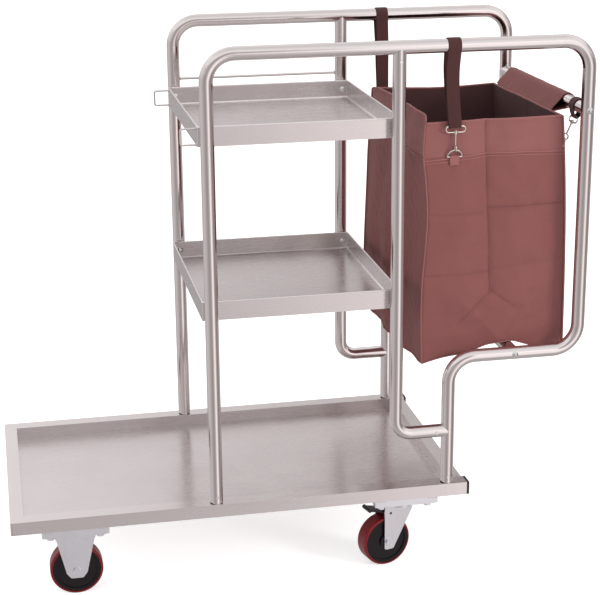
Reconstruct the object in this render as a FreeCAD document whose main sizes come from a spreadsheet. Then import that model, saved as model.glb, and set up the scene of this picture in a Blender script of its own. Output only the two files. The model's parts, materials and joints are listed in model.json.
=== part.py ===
"""Linen trolley for hospital wards, as a parametric FreeCAD document.

X runs along the trolley (the bag end is +X), Y across it and Z up.  The origin is on the
ground, under the middle of the whole trolley.  All sizes are in millimetres.
"""
import FreeCAD, Part
import math
import os
import re

import Sketcher
from FreeCAD import Placement, Rotation, Vector

# Every size that can be set by itself.
SIZES = {
    # round tubing of the side frames
    "tube_r": 12.5,
    "tube_wall": 1.2,
    "bend_r": 50,
    "j_bend_r": 30,
    "cope_gap": 0.1,
    "foot_saddle_r": 27.5,
    # where the tubes stand: X of the posts, Y of the frames, Z of the rails
    "post_y": 235,
    "left_post_x": -166.5,
    "j_post_x": 180.5,
    "right_post_x": 283,
    "outer_post_x": 537.5,
    "top_rail_z": 1015,
    "lower_rail_z": 427,
    "j_foot_z": 280.5,
    "upper_bar_z": 888,
    "lower_bar_x": 410,
    # base frame of rectangular tube, and its deck
    "base_left_x": -550,
    "base_right_x": 325,
    "rail_w": 30,
    "rail_h": 25,
    "cross_w": 25,
    "cross_inset": 8,
    "corner_r": 4,
    "deck_sheet": 1.2,
    "cap_flange": 5,
    "cap_depth": 18,
    # pans under the rails that the casters bolt to
    "bracket_length": 124,
    "bracket_width": 110,
    "bracket_h": 12,
    "bracket_sheet": 2.5,
    # wheels
    "wheel_r": 50,
    "wheel_w": 32,
    "tread_depth": 4.5,
    "tread_round": 3.5,
    "rim_lip": 6,
    "disc_dish": 3,
    "hub_r": 15,
    "hub_w": 34,
    "axle_r": 4,
    "axle_head_r": 7,
    "axle_head_h": 4,
    # forks, swivels and plates
    "fork_play": 0.5,
    "fork_sheet": 2.5,
    "crown_gap": 21,
    "crown_sheet": 3,
    "crown_lead": 18,
    "crown_tail": 8,
    "ball_r": 2.4,
    "ball_ring_r": 22,
    "race_r": 30,
    "race_h": 5,
    "plate_length": 115,
    "plate_width": 100,
    "plate_sheet": 3,
    "fixed_x": -432,
    "swivel_x": 200,
    "trail": 35,
    "kingpin_r": 6,
    "kingpin_head_r": 10,
    "kingpin_head_h": 3,
    "yaw_near": 15,
    "yaw_far": -24,
    "fork_top_half": 46,
    "fork_neck_half": 35.5,
    "fork_neck_drop": 21,
    "fork_foot_half": 19.5,
    "fork_foot_cut": 8,
    "fork_foot_drop": 16,
    "fork_foot_r": 5,
    "rib_half": 21,
    "rib_foot_half": 12,
    "rib_rise": 2,
    # wheel brakes
    "pedal_pivot_u": 30,
    "pedal_pivot_drop": 11,
    "pedal_pin_r": 2.5,
    "pedal_hub_r": 6,
    "pedal_reach": 43,
    "pedal_w": 26,
    "pedal_sheet": 4,
    "pedal_tilt": 14,
    "shoe_sheet": 5,
    "shoe_lean": 40,
    # trays
    "tray_h": 36,
    "tray_sheet": 1.2,
    "tray_hem": 8,
    "tray_shift": 2,
    "tray_corner_r": 3,
    "top_tray_z": 885,
    "middle_tray_z": 562,
    "spacer_length": 7.5,
    "spacer_r": 6,
    "guard_r": 2.5,
    "guard_rise": 14,
    "hoop_r": 1.8,
    "hoop_reach": 29,
    "hoop_drop": 29,
    "hoop_bend_r": 4,
    "hoop_from_rim": 4.5,
    "hoop_inset": 10,
    # fasteners
    "bolt_r": 3,
    "dome_r": 6,
    "dome_h": 3.2,
    "foot_head_r": 7,
    "foot_head_h": 4.5,
    "screw_r": 1.4,
    "screw_head_r": 2.8,
    "screw_head_h": 1.4,
    "screw_from_joint": 12,
    "caster_bolt_r": 4,
    "caster_nut_r": 7.5,
    "caster_nut_h": 6.5,
    "caster_bolt_x": 46,
    "caster_bolt_y": 38,
    "plug_length": 20,
    "hole_gap": 0.25,
    "fit_gap": 0.05,
    # bag
    "bag_left_x": 240,
    "bag_right_x": 503,
    "bag_low_left_x": 236,
    "bag_low_right_x": 518,
    "bag_half_y": 201,
    "bag_rim_z": 869,
    "bag_hem_z": 800,
    "bag_left_low_z": 409,
    "bag_right_low_z": 427,
    "bag_cloth": 2,
    "soft_gap": 0.3,
    "sleeve_near_y": -134,
    "sleeve_far_y": 186,
    "tab_cloth": 1.2,
    "tab_w": 18,
    "tab_drop": 14,
    # straps, snap hooks and D rings
    "strap_w": 24,
    "strap_cloth": 1.5,
    "strap_near_x": 293,
    "strap_far_x": 263,
    "hook_near_x": 295,
    "hook_far_x": 264,
    "wire_r": 1.5,
    "eye_z": 858,
    "eye_half": 13,
    "eye_end_r": 5.5,
    "socket_r": 3.6,
    "socket_h": 4,
    "stem_r": 1.6,
    "stem_head_r": 2.8,
    "stem_head_h": 1.6,
    "hook_stand": 7.5,
    "hook_drop": 36,
    "hook_loop_r": 6,
    "gate_r": 1,
    "hook_gap": 105,
    "ring_r": 14,
    "side_strap_y": -186,
    "side_eye_x": 530,
    "side_eye_z": 862,
    "side_hook_tilt": 25,
    "side_ring_z": 815.3,
    "side_ring_tilt": 33,
}

# Lengths that follow from those above.
DERIVED = {
    "crown_under": "2*wheel_r + crown_gap",
    "crown_top": "crown_under + crown_sheet",
    "race_under": "crown_top + 2*ball_r + 4*fit_gap",
    "plate_under": "race_under + race_h",
    "plate_top": "plate_under + plate_sheet",
    "rail_bottom": "plate_top + bracket_h",
    "rail_top": "rail_bottom + rail_h",
    "base_half_y": "post_y + rail_w/2",
    "base_inner_y": "post_y - rail_w/2",
    "caster_y": "base_half_y - bracket_width/2",
    "rail_start_x": "base_left_x + cross_w",
    "rail_end_x": "base_right_x - cap_flange",
    "right_cross_x": "base_right_x - cross_inset - cross_w",
    "tube_bore_r": "tube_r - tube_wall",
    "saddle_drop": "sqrt(foot_saddle_r^2 - tube_r^2)",
    "plug_foot_z": "rail_top + foot_saddle_r - saddle_drop + 0.5",
    "tray_left_x": "left_post_x - tube_r - tray_shift",
    "tray_right_x": "j_post_x + tube_r - tray_shift",
    "tray_half_y": "post_y - tube_r - spacer_length",
    "leg_inner": "hub_w/2 + fork_play",
    "leg_outer": "leg_inner + fork_sheet",
    "core_r": "wheel_r - tread_depth",
    "pedal_z": "crown_under - pedal_pivot_drop",
    "pedal_to_axle": "sqrt((trail - pedal_pivot_u)^2 + (pedal_z - wheel_r)^2)",
    "shoe_reach": "sqrt((pedal_to_axle - wheel_r - fit_gap)^2 - (shoe_sheet/2)^2)",
    "ring_bar_off": "wire_r + soft_gap + tab_cloth",
    "side_ring_x": "bag_right_x + ring_bar_off",
    "gate_y": "wire_r + gate_r + 3*fit_gap",
    "gate_z": "0.95*hook_loop_r - hook_drop",
    "gate_across": "hook_loop_r*cos(90 deg - hook_gap*1 deg) - gate_y",
    "gate_down": "0.95*hook_loop_r - hook_loop_r*sin(90 deg - hook_gap*1 deg)",
    "gate_length": "sqrt(gate_across^2 + gate_down^2) - 20*fit_gap",
    "ring_lean": "asin((hook_stand - ring_bar_off)/ring_r)",
    "ring_nip": "hook_loop_r - 2*wire_r - soft_gap",
    "ring_bar_z": "eye_z - hook_drop - ring_nip - sqrt(ring_r^2 - (hook_stand - ring_bar_off)^2)",
}

doc = FreeCAD.newDocument("linen_trolley")
sheet = doc.addObject("Spreadsheet::Sheet", "sizes")
for row, (alias, value) in enumerate({**SIZES, **DERIVED}.items(), start=1):
    sheet.set(f"A{row}", alias)
    sheet.set(f"B{row}", f"={value}" if alias in DERIVED else str(value))
    sheet.setAlias(f"B{row}", alias)
doc.recompute()

SIDES = (("near", -1), ("far", 1))
AXES = {
    "x": Rotation(Vector(0, 0, 1), Vector(1, 0, 0)),
    "-x": Rotation(Vector(0, 0, 1), Vector(-1, 0, 0)),
    "y": Rotation(Vector(0, 0, 1), Vector(0, 1, 0)),
    "-y": Rotation(Vector(0, 0, 1), Vector(0, -1, 0)),
    "z": Rotation(),
    "-z": Rotation(Vector(1, 0, 0), 180),
}
ABOUT_Y = Vector(0, 1, 0)
ABOUT_Z = Vector(0, 0, 1)
nodes = {}


# ---------------------------------------------------------------- building blocks

def formula(text):
    """The text with every size's name written as a cell of the sheet."""
    def cell(match):
        word = match.group()
        return f"sizes.{word}" if word in SIZES or word in DERIVED else word
    return re.sub(r"[a-z_][a-z0-9_]*", cell, str(text))


def number(text):
    """The value of a formula, as a plain number."""
    value = sheet.evalExpression(formula(text))
    return float(getattr(value, "Value", value))


def bind(thing, **properties):
    for name, text in properties.items():
        thing.setExpression(name, formula(text))
    return thing


def place(thing, at, turn=None):
    """Puts a thing at three formulas, turned by a rotation."""
    if turn is not None:
        thing.Placement = Placement(Vector(), turn)
    for axis, text in zip("xyz", at):
        thing.setExpression(f"Placement.Base.{axis}", formula(text))
    return thing


def box(low, size):
    """A block from its lowest corner."""
    block = doc.addObject("Part::Box", "block")
    bind(block, Length=size[0], Width=size[1], Height=size[2])
    return place(block, low)


def rod(start, axis, radius, length):
    """A round bar that starts at a point and runs along one of AXES."""
    bar = doc.addObject("Part::Cylinder", "rod")
    bind(bar, Radius=radius, Height=length)
    return place(bar, start, AXES[axis])


def hexagon(start, axis, radius, length):
    prism = doc.addObject("Part::Prism", "hexagon")
    prism.Polygon = 6
    bind(prism, Circumradius=radius, Height=length)
    return place(prism, start, AXES[axis])


def dome(radius, height):
    """A cap of a ball that rises from the plane Z = 0."""
    cap = doc.addObject("Part::Sphere", "dome")
    ball = f"(({radius})^2 + ({height})^2)/(2*({height}))"
    bind(cap, Radius=ball, Angle1=f"asin(1 - ({height})/({ball}))")
    return place(cap, ("0", "0", f"({height}) - {ball}"))


def bend(centre, start_angle, bend_radius, radius, sweep=90):
    """A bend in the plane Y = constant, from an angle measured from +X towards +Z."""
    ring = doc.addObject("Part::Torus", "bend")
    bind(ring, Radius1=bend_radius, Radius2=radius)
    ring.Angle3 = sweep
    stand_up = Rotation(Vector(1, 0, 0), 90)
    return place(ring, centre, stand_up.multiply(Rotation(ABOUT_Z, start_angle)))


def fuse(*parts):
    joined = doc.addObject("Part::MultiFuse", "joined")
    joined.Shapes = list(parts)
    joined.Refine = True
    return joined


def cut(base, *tools):
    result = doc.addObject("Part::Cut", "cut")
    result.Base = base
    result.Tool = tools[0] if len(tools) == 1 else group(*tools)
    result.Refine = True
    return result


def group(*parts):
    """Separate solids kept side by side in one piece of the model."""
    bundle = doc.addObject("Part::Compound", "group")
    bundle.Links = list(parts)
    return bundle


def node(label, thing, at=None, turn=None):
    """Names a finished sub-part, and puts it in its place if it was made elsewhere."""
    if at is not None:
        place(thing, at, turn)
    thing.Label = label
    nodes[label] = thing
    return thing


def closed_sketch(body, role, points):
    """A closed outline of straight sides, each corner held by two formulas."""
    plane = next(f for f in body.Origin.OriginFeatures if f.Role == role)
    sketch = body.newObject("Sketcher::SketchObject", "outline")
    sketch.AttachmentSupport = [(plane, "")]
    sketch.MapMode = "FlatFace"
    corners = [Vector(number(u), number(v), 0) for u, v in points]
    for start, end in zip(corners, corners[1:] + corners[:1]):
        sketch.addGeometry(Part.LineSegment(start, end))
    for side in range(len(points)):
        after = (side + 1) % len(points)
        sketch.addConstraint(Sketcher.Constraint("Coincident", side, 2, after, 1))
    for side, (texts, corner) in enumerate(zip(points, corners)):
        for kind, text, value in zip(("DistanceX", "DistanceY"), texts, corner):
            held = sketch.addConstraint(Sketcher.Constraint(kind, -1, 1, side, 1, value))
            sketch.setExpression(f"Constraints[{held}]", formula(text))
    return sketch


def plate(role, points, thickness, rounds=()):
    """A flat plate of any outline, centred on its sketch plane.

    Each of rounds is (a test of an edge's middle point, a radius): it rounds the
    edges across the plate that pass the test.
    """
    height = {"XY_Plane": lambda m: m.z, "XZ_Plane": lambda m: m.y}[role]
    body = doc.addObject("PartDesign::Body", "plate")
    doc.recompute()
    pad = body.newObject("PartDesign::Pad", "pad")
    pad.Profile = closed_sketch(body, role, points)
    pad.SideType = "Symmetric"
    bind(pad, Length=thickness)
    doc.recompute()
    for test, radius in rounds:
        round_edges(body, lambda m: abs(height(m)) < 0.01 and test(m), radius)
    return body


def round_edges(body, test, radius):
    """Rounds the edges of a body whose middle points pass a test."""
    tip = body.Tip
    picked = []
    for index, edge in enumerate(tip.Shape.Edges, start=1):
        middle = edge.valueAt((edge.FirstParameter + edge.LastParameter) / 2)
        if test(middle):
            picked.append(f"Edge{index}")
    fillet = body.newObject("PartDesign::Fillet", "fillet")
    fillet.Base = (tip, picked)
    bind(fillet, Radius=radius)
    doc.recompute()


def lathe(points):
    """A turned solid about Z, from an outline of (radius, Z) corners."""
    body = doc.addObject("PartDesign::Body", "turned")
    doc.recompute()
    sketch = closed_sketch(body, "XZ_Plane", points)
    turned = body.newObject("PartDesign::Revolution", "turned")
    turned.Profile = sketch
    turned.ReferenceAxis = (sketch, ["V_Axis"])
    turned.Angle = 360
    doc.recompute()
    return body


def belt(first, first_r, second, second_r, cloth, width):
    """A band of cloth in the plane X = 0, pulled tight round two bars along X.

    first and second are (Y, Z) of the bars; the radii are those of the band's inside.
    """
    half = number(width) / 2

    def loop(extra):
        radius_a = number(first_r) + extra
        radius_b = number(second_r) + extra
        a = Vector(-half, number(first[0]), number(first[1]))
        b = Vector(-half, number(second[0]), number(second[1]))
        along = b - a
        lean = math.acos((radius_a - radius_b) / along.Length)
        along.normalize()
        sides = [Rotation(Vector(1, 0, 0), math.degrees(turn)).multVec(along)
                 for turn in (lean, -lean)]
        a_left, a_right = (a + side * radius_a for side in sides)
        b_left, b_right = (b + side * radius_b for side in sides)
        edges = [
            Part.makeLine(a_left, b_left),
            Part.Arc(b_left, b + along * radius_b, b_right).toShape(),
            Part.makeLine(b_right, a_right),
            Part.Arc(a_right, a - along * radius_a, a_left).toShape(),
        ]
        return Part.Face(Part.Wire(edges))

    face = loop(number(cloth)).cut(loop(0))
    band = doc.addObject("Part::Feature", "belt")
    band.Shape = face.extrude(Vector(2 * half, 0, 0)).Solids[0]
    return band


# ---------------------------------------------------------------- base frame

def hollow_bar(low, size, open_axis):
    """Rectangular tube; its bore runs out at both ends of open_axis, or nowhere."""
    inner_low = list(low)
    inner_size = list(size)
    for axis in range(3):
        if axis != open_axis:
            inner_low[axis] = f"{low[axis]} + tube_wall"
            inner_size[axis] = f"{size[axis]} - 2*tube_wall"
    return cut(box(low, size), box(inner_low, inner_size))


def make_base():
    length = "rail_end_x - rail_start_x"
    for side, sign in SIDES:
        centre_y = f"{sign}*post_y"
        bar = hollow_bar(("rail_start_x", f"{centre_y} - rail_w/2", "rail_bottom"),
                         (length, "rail_w", "rail_h"), 0)
        holes = [rod((x, centre_y, "rail_bottom - 1"), "z", "bolt_r + hole_gap", "rail_h + 2")
                 for x in ("left_post_x", "right_post_x")]
        node(f"base_side_rail_{side}", cut(bar, *holes))

    left = plate("XY_Plane",
                 (("base_left_x", "-base_half_y"), ("rail_start_x", "-base_half_y"),
                  ("rail_start_x", "base_half_y"), ("base_left_x", "base_half_y")),
                 "rail_h",
                 [(lambda m: m.x < number("base_left_x") + 1, "corner_r")])
    place(left, ("0", "0", "rail_bottom + rail_h/2"))
    bore = box(("base_left_x + tube_wall", "corner_r - base_half_y", "rail_bottom + tube_wall"),
               ("cross_w - 2*tube_wall", "2*(base_half_y - corner_r)", "rail_h - 2*tube_wall"))
    node("base_cross_rail_left", cut(left, bore))
    node("base_cross_rail_right",
         hollow_bar(("right_cross_x", "-base_inner_y", "rail_bottom"),
                    ("cross_w", "2*base_inner_y", "rail_h"), 1))
    node("base_deck", box(("rail_start_x", "-base_inner_y", "rail_bottom"),
                          ("right_cross_x - rail_start_x", "2*base_inner_y", "deck_sheet")))

    caps = []
    for _, sign in SIDES:
        flange = box(("rail_end_x", f"{sign}*post_y - rail_w/2", "rail_bottom"),
                     ("cap_flange", "rail_w", "rail_h"))
        inset = "(tube_wall + fit_gap)"
        tongue = box(("rail_end_x - cap_depth", f"{sign}*post_y - rail_w/2 + {inset}",
                      f"rail_bottom + {inset}"),
                     ("cap_depth", f"rail_w - 2*{inset}", f"rail_h - 2*{inset}"))
        caps.append(fuse(flange, tongue))
    node("rail_end_caps", group(*caps))


def caster_spots():
    """The middle of each caster's plate: X, Y, side and sign."""
    for x in ("fixed_x", "swivel_x"):
        for side, sign in SIDES:
            yield x, f"{sign}*caster_y", side, sign


def bolt_spots(x, y):
    """The four bolts round a caster's middle."""
    for across in (-1, 1):
        for along in (-1, 1):
            yield f"{x} + {across}*caster_bolt_x", f"{y} + {along}*caster_bolt_y"


def bolt_holes(x, y, low, length):
    return [rod((bx, by, low), "z", "caster_bolt_r + hole_gap", length)
            for bx, by in bolt_spots(x, y)]


def make_brackets():
    """Pans welded under the rails, and the bolts that hold a caster to each."""
    pans, bolts, nuts = [], [], []
    for x, y, _, _ in caster_spots():
        outer = box((f"{x} - bracket_length/2", f"{y} - bracket_width/2", "plate_top"),
                    ("bracket_length", "bracket_width", "bracket_h"))
        inner = box((f"{x} - bracket_length/2 + bracket_sheet",
                     f"{y} - bracket_width/2 + bracket_sheet", "plate_top + bracket_sheet"),
                    ("bracket_length - 2*bracket_sheet", "bracket_width - 2*bracket_sheet",
                     "bracket_h"))
        pans.append(cut(outer, inner, *bolt_holes(x, y, "plate_top - 1", "bracket_h")))
        for bx, by in bolt_spots(x, y):
            head_z = "plate_top + bracket_sheet"
            head = hexagon((bx, by, head_z), "z", "caster_nut_r", "foot_head_h")
            shank_length = "bracket_sheet + plate_sheet + caster_nut_h + 1.5"
            shank = rod((bx, by, head_z), "-z", "caster_bolt_r", shank_length)
            bolts.append(fuse(head, shank))
            nut = hexagon((bx, by, "plate_under"), "-z", "caster_nut_r", "caster_nut_h")
            bore = rod((bx, by, "plate_under + 1"), "-z", "caster_bolt_r + fit_gap",
                       "caster_nut_h + 2")
            nuts.append(cut(nut, bore))
    node("caster_brackets", group(*pans))
    node("caster_bolts", group(*bolts))
    node("caster_nuts", group(*nuts))


# ---------------------------------------------------------------- casters

def make_wheel(name, at, turn):
    """A core with its hub, and the tread moulded round it; the axle is local Z."""
    bore = "axle_r + fit_gap"
    face = "(wheel_w/2 - 1)"
    web = "(wheel_w/2 - disc_dish)"
    rim = "(core_r - rim_lip)"
    core = lathe(((bore, "-hub_w/2"), ("hub_r", "-hub_w/2"), ("hub_r", f"-{web}"),
                  (rim, f"-{web}"), (rim, f"-{face}"), ("core_r", f"-{face}"),
                  ("core_r", face), (rim, face), (rim, web), ("hub_r", web),
                  ("hub_r", "hub_w/2"), (bore, "hub_w/2")))
    tread = lathe((("core_r", "-wheel_w/2"), ("wheel_r", "-wheel_w/2"),
                   ("wheel_r", "wheel_w/2"), ("core_r", "wheel_w/2")))
    outer = number("wheel_r") - 0.5
    round_edges(tread, lambda m: math.hypot(m.x, m.y) > outer, "tread_round")
    node(f"wheel_core_{name}", core, at, turn)
    node(f"wheel_tread_{name}", tread, at, turn)


def axle(centre):
    """Axle bolt and its nut across a fork, along local Y, about a centre (X, Z)."""
    x, z = centre
    head = hexagon((x, "-leg_outer", z), "-y", "axle_head_r", "axle_head_h")
    shank_length = "2*leg_outer + axle_head_h + 2"
    bolt = fuse(head, rod((x, "-leg_outer", z), "y", "axle_r", shank_length))
    nut = hexagon((x, "leg_outer", z), "y", "axle_head_r", "axle_head_h")
    bore = rod((x, "leg_outer - 1", z), "y", "axle_r + fit_gap", "axle_head_h + 4")
    return [bolt, cut(nut, bore)]


def near_foot(limit):
    """A test for the lower corners of a fork leg."""
    low = number(limit)
    return lambda m: m.z < low + 1


def fixed_fork():
    """Plate, two tapering legs and the raised rib on each, about its own middle."""
    foot = "(wheel_r - fork_foot_drop)"
    neck = "(plate_under - fork_neck_drop)"
    knee = "(wheel_r - fork_foot_drop/3)"
    leg_outline = (("-fork_top_half", "plate_under"), ("-fork_neck_half", neck),
                   ("-fork_foot_half", knee), ("fork_foot_cut - fork_foot_half", foot),
                   ("fork_foot_half - fork_foot_cut", foot), ("fork_foot_half", knee),
                   ("fork_neck_half", neck), ("fork_top_half", "plate_under"))
    rib_outline = (("-rib_half", "plate_under"), ("-rib_half", "wheel_r + rib_half"),
                   ("-rib_foot_half", "wheel_r + rib_foot_half"),
                   ("rib_foot_half", "wheel_r + rib_foot_half"),
                   ("rib_half", "wheel_r + rib_half"), ("rib_half", "plate_under"))
    parts = [box(("-plate_length/2", "-plate_width/2", "plate_under"),
                 ("plate_length", "plate_width", "plate_sheet"))]
    for _, sign in SIDES:
        leg = plate("XZ_Plane", leg_outline, "fork_sheet",
                    [(near_foot(foot), "fork_foot_r")])
        parts.append(place(leg, ("0", f"{sign}*(leg_inner + fork_sheet/2)", "0")))
        rib = plate("XZ_Plane", rib_outline, "rib_rise")
        parts.append(place(rib, ("0", f"{sign}*(leg_outer + rib_rise/2)", "0")))
    bore = rod(("0", "-plate_width/2", "wheel_r"), "y", "axle_r + fit_gap", "plate_width")
    return cut(fuse(*parts), bore, *bolt_holes("0", "0", "plate_under - 1", "plate_sheet + 2"))


def make_fixed_casters():
    axles = []
    for side, sign in SIDES:
        centre_y = f"{sign}*caster_y"
        node(f"fixed_fork_{side}", fixed_fork(), ("fixed_x", centre_y, "0"))
        for piece in axle(("0", "wheel_r")):
            axles.append(place(group(piece), ("fixed_x", centre_y, "0")))
        make_wheel(f"fixed_{side}", ("fixed_x", centre_y, "wheel_r"), AXES["y"])
    node("fixed_axles", group(*axles))


def swivel_fork():
    """Crown, two raked legs and their bores, about the kingpin on the ground."""
    tail = "(trail + crown_tail)"
    foot = "(wheel_r - fork_foot_drop)"
    outline = (("crown_lead", "crown_top"), (f"-{tail}", "crown_top"), (f"-{tail}", foot),
               ("fork_foot_half - fork_foot_cut - trail", foot),
               ("crown_lead", "crown_under - crown_tail"))
    parts = [box((f"-{tail}", "-leg_outer", "crown_under"),
                 (f"crown_lead + {tail}", "2*leg_outer", "crown_sheet")),
             rod(("0", "0", "crown_under"), "z", "race_r", "crown_sheet")]
    for _, sign in SIDES:
        leg = plate("XZ_Plane", outline, "fork_sheet", [(near_foot(foot), "fork_foot_r")])
        parts.append(place(leg, ("0", f"{sign}*(leg_inner + fork_sheet/2)", "0")))
    bores = [
        rod(("0", "0", "crown_under - 1"), "z", "kingpin_r + fit_gap", "crown_sheet + 2"),
        rod(("-trail", "-2*leg_outer", "wheel_r"), "y", "axle_r + fit_gap", "4*leg_outer"),
        rod(("-pedal_pivot_u", "-2*leg_outer", "pedal_z"), "y", "pedal_pin_r + fit_gap",
            "4*leg_outer"),
    ]
    return cut(fuse(*parts), *bores)


def brake_pedal():
    """Foot pedal on its pin, with a shoe that comes down on the tread."""
    pivot = ("-pedal_pivot_u", "0", "pedal_z")
    hub = rod((pivot[0], "0.5 - leg_inner", pivot[2]), "y", "pedal_hub_r", "2*leg_inner - 1")
    pin = rod((pivot[0], "-leg_outer", pivot[2]), "y", "pedal_pin_r", "2*leg_outer")
    arm = box(("-pedal_reach", "-pedal_w/2", "-pedal_sheet/2"),
              ("pedal_reach", "pedal_w", "pedal_sheet"))
    lip = rod(("-pedal_reach", "-pedal_w/2", "0"), "y", "pedal_sheet", "pedal_w")
    lever = place(fuse(arm, lip), pivot, Rotation(ABOUT_Y, number("pedal_tilt")))
    shoe = place(group(box(("-shoe_sheet/2", "-pedal_w/2", "-shoe_reach"),
                           ("shoe_sheet", "pedal_w", "shoe_reach"))),
                 pivot, Rotation(ABOUT_Y, number("shoe_lean")))
    return fuse(hub, pin, lever, shoe)


def make_swivel_casters():
    plates, kingpins, balls = [], [], []
    for side, sign in SIDES:
        spot = ("swivel_x", f"{sign}*caster_y", "0")
        yaw = Rotation(ABOUT_Z, number(f"yaw_{side}"))
        top = box(("-plate_length/2", "-plate_width/2", "plate_under"),
                  ("plate_length", "plate_width", "plate_sheet"))
        race = rod(("0", "0", "race_under"), "z", "race_r", "race_h")
        bore = rod(("0", "0", "race_under - 1"), "z", "kingpin_r", "race_h + plate_sheet + 2")
        holes = bolt_holes("0", "0", "plate_under - 1", "plate_sheet + 2")
        plates.append(place(cut(fuse(top, race), bore, *holes), spot))

        head_z = "crown_under - 2*fit_gap - kingpin_head_h"
        shank = rod(("0", "0", head_z), "z", "kingpin_r", f"plate_top - ({head_z})")
        head = rod(("0", "0", head_z), "z", "kingpin_head_r", "kingpin_head_h")
        kingpins.append(place(fuse(shank, head), spot))

        around = int(math.pi * number("ball_ring_r") / number("ball_r") / 1.6)
        for step in range(around):
            ball = bind(doc.addObject("Part::Sphere", "ball"), Radius="ball_r")
            turn = 360 / around * step
            at = (f"ball_ring_r*cos({turn} deg)", f"ball_ring_r*sin({turn} deg)",
                  "crown_top + 2*fit_gap + ball_r")
            balls.append(place(group(place(ball, at)), spot))

        node(f"swivel_fork_{side}", swivel_fork(), spot, yaw)
        node(f"swivel_axle_{side}", group(*axle(("-trail", "wheel_r"))), spot, yaw)
        node(f"brake_pedal_{side}", brake_pedal(), spot, yaw)
        heading = yaw.multVec(Vector(-1, 0, 0))
        centre = (f"swivel_x + trail*({heading.x})", f"{sign}*caster_y + trail*({heading.y})",
                  "wheel_r")
        make_wheel(f"swivel_{side}", centre, yaw.multiply(AXES["y"]))
    node("swivel_top_plates", group(*plates))
    node("swivel_kingpins", group(*kingpins))
    node("swivel_balls", group(*balls))


# ---------------------------------------------------------------- tubular frame

def bent_tube(y, legs, bends):
    """A hollow tube in a plane Y = constant: straight legs, joined by bends."""
    skins = []
    for radius in ("tube_r", "tube_bore_r"):
        parts = [rod((x, y, z), axis, radius, length) for x, z, axis, length in legs]
        parts += [bend((x, y, z), angle, size, radius) for x, z, angle, size in bends]
        skins.append(fuse(*parts))
    return cut(*skins)


def cope_cutter(x, y, z, axis, reach="40"):
    """What a tube's end is scooped out by, where it meets another tube."""
    back = {"x": (f"{x} - {reach}", y, z), "y": (x, f"{y} - {reach}", z),
            "z": (x, y, f"{z} - {reach}")}
    return rod(back[axis], axis, "tube_r + cope_gap", f"2*{reach}")


def make_side_frames():
    bolt_hole = "bolt_r + hole_gap"
    for side, sign in SIDES:
        y = f"{sign}*post_y"
        inward, outward = ("y", "-y") if sign < 0 else ("-y", "y")
        legs = (
            ("left_post_x", "rail_top", "z", "top_rail_z - bend_r - rail_top"),
            ("left_post_x + bend_r", "top_rail_z", "x",
             "outer_post_x - left_post_x - 2*bend_r"),
            ("outer_post_x", "lower_rail_z + bend_r", "z",
             "top_rail_z - lower_rail_z - 2*bend_r"),
            ("right_post_x + bend_r", "lower_rail_z", "x",
             "outer_post_x - right_post_x - 2*bend_r"),
            ("right_post_x", "rail_top", "z", "lower_rail_z - bend_r - rail_top"),
        )
        bends = (
            ("left_post_x + bend_r", "top_rail_z - bend_r", 90, "bend_r"),
            ("outer_post_x - bend_r", "top_rail_z - bend_r", 0, "bend_r"),
            ("outer_post_x - bend_r", "lower_rail_z + bend_r", 270, "bend_r"),
            ("right_post_x + bend_r", "lower_rail_z - bend_r", 90, "bend_r"),
        )
        tools = [rod((f"{x} - 2*tube_r", y, "rail_top - saddle_drop"), "x", "foot_saddle_r",
                     "4*tube_r") for x in ("left_post_x", "right_post_x")]
        tools += [rod((x, f"{y} - 2*tube_r", z), "y", bolt_hole, "4*tube_r")
                  for x, z in (("outer_post_x", "upper_bar_z"), ("lower_bar_x", "lower_rail_z"))]
        tools += [rod(("left_post_x", y, f"{rim} - tray_h/2"), inward, bolt_hole, "2*tube_r")
                  for rim in ("top_tray_z", "middle_tray_z")]
        tools += [rod((x, y, "plug_foot_z + plug_length/2"), outward, "screw_r + fit_gap",
                      "2*tube_r") for x in ("left_post_x", "right_post_x")]
        node(f"side_frame_{side}", cut(bent_tube(y, legs, bends), *tools))

        legs = (
            ("j_post_x", "j_foot_z + j_bend_r", "z", "top_rail_z - j_foot_z - j_bend_r"),
            ("j_post_x + j_bend_r", "j_foot_z", "x", "right_post_x - j_post_x - j_bend_r"),
        )
        bends = (("j_post_x + j_bend_r", "j_foot_z + j_bend_r", 180, "j_bend_r"),)
        tools = [cope_cutter("j_post_x", y, "top_rail_z", "x"),
                 cope_cutter("right_post_x", y, "j_foot_z", "z")]
        tools += [rod(("j_post_x", y, f"{rim} - tray_h/2"), inward, bolt_hole, "2*tube_r")
                  for rim in ("top_tray_z", "middle_tray_z")]
        tools += [rod((x, y, z), outward, "screw_r + fit_gap", "2*tube_r")
                  for x, z in J_SCREWS]
        node(f"j_post_{side}", cut(bent_tube(y, legs, bends), *tools))


# Where the small screws of a J post hold the plugs in its two ends: X and Z.
J_SCREWS = (
    ("j_post_x", "top_rail_z - tube_r - screw_from_joint"),
    ("right_post_x - tube_r - screw_from_joint", "j_foot_z"),
)


def plug(start, axis):
    """A threaded insert that fills a tube's end."""
    body = rod(start, axis, "tube_bore_r - fit_gap", "plug_length")
    return cut(body, rod(start, axis, "bolt_r + fit_gap", "plug_length"))


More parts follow.
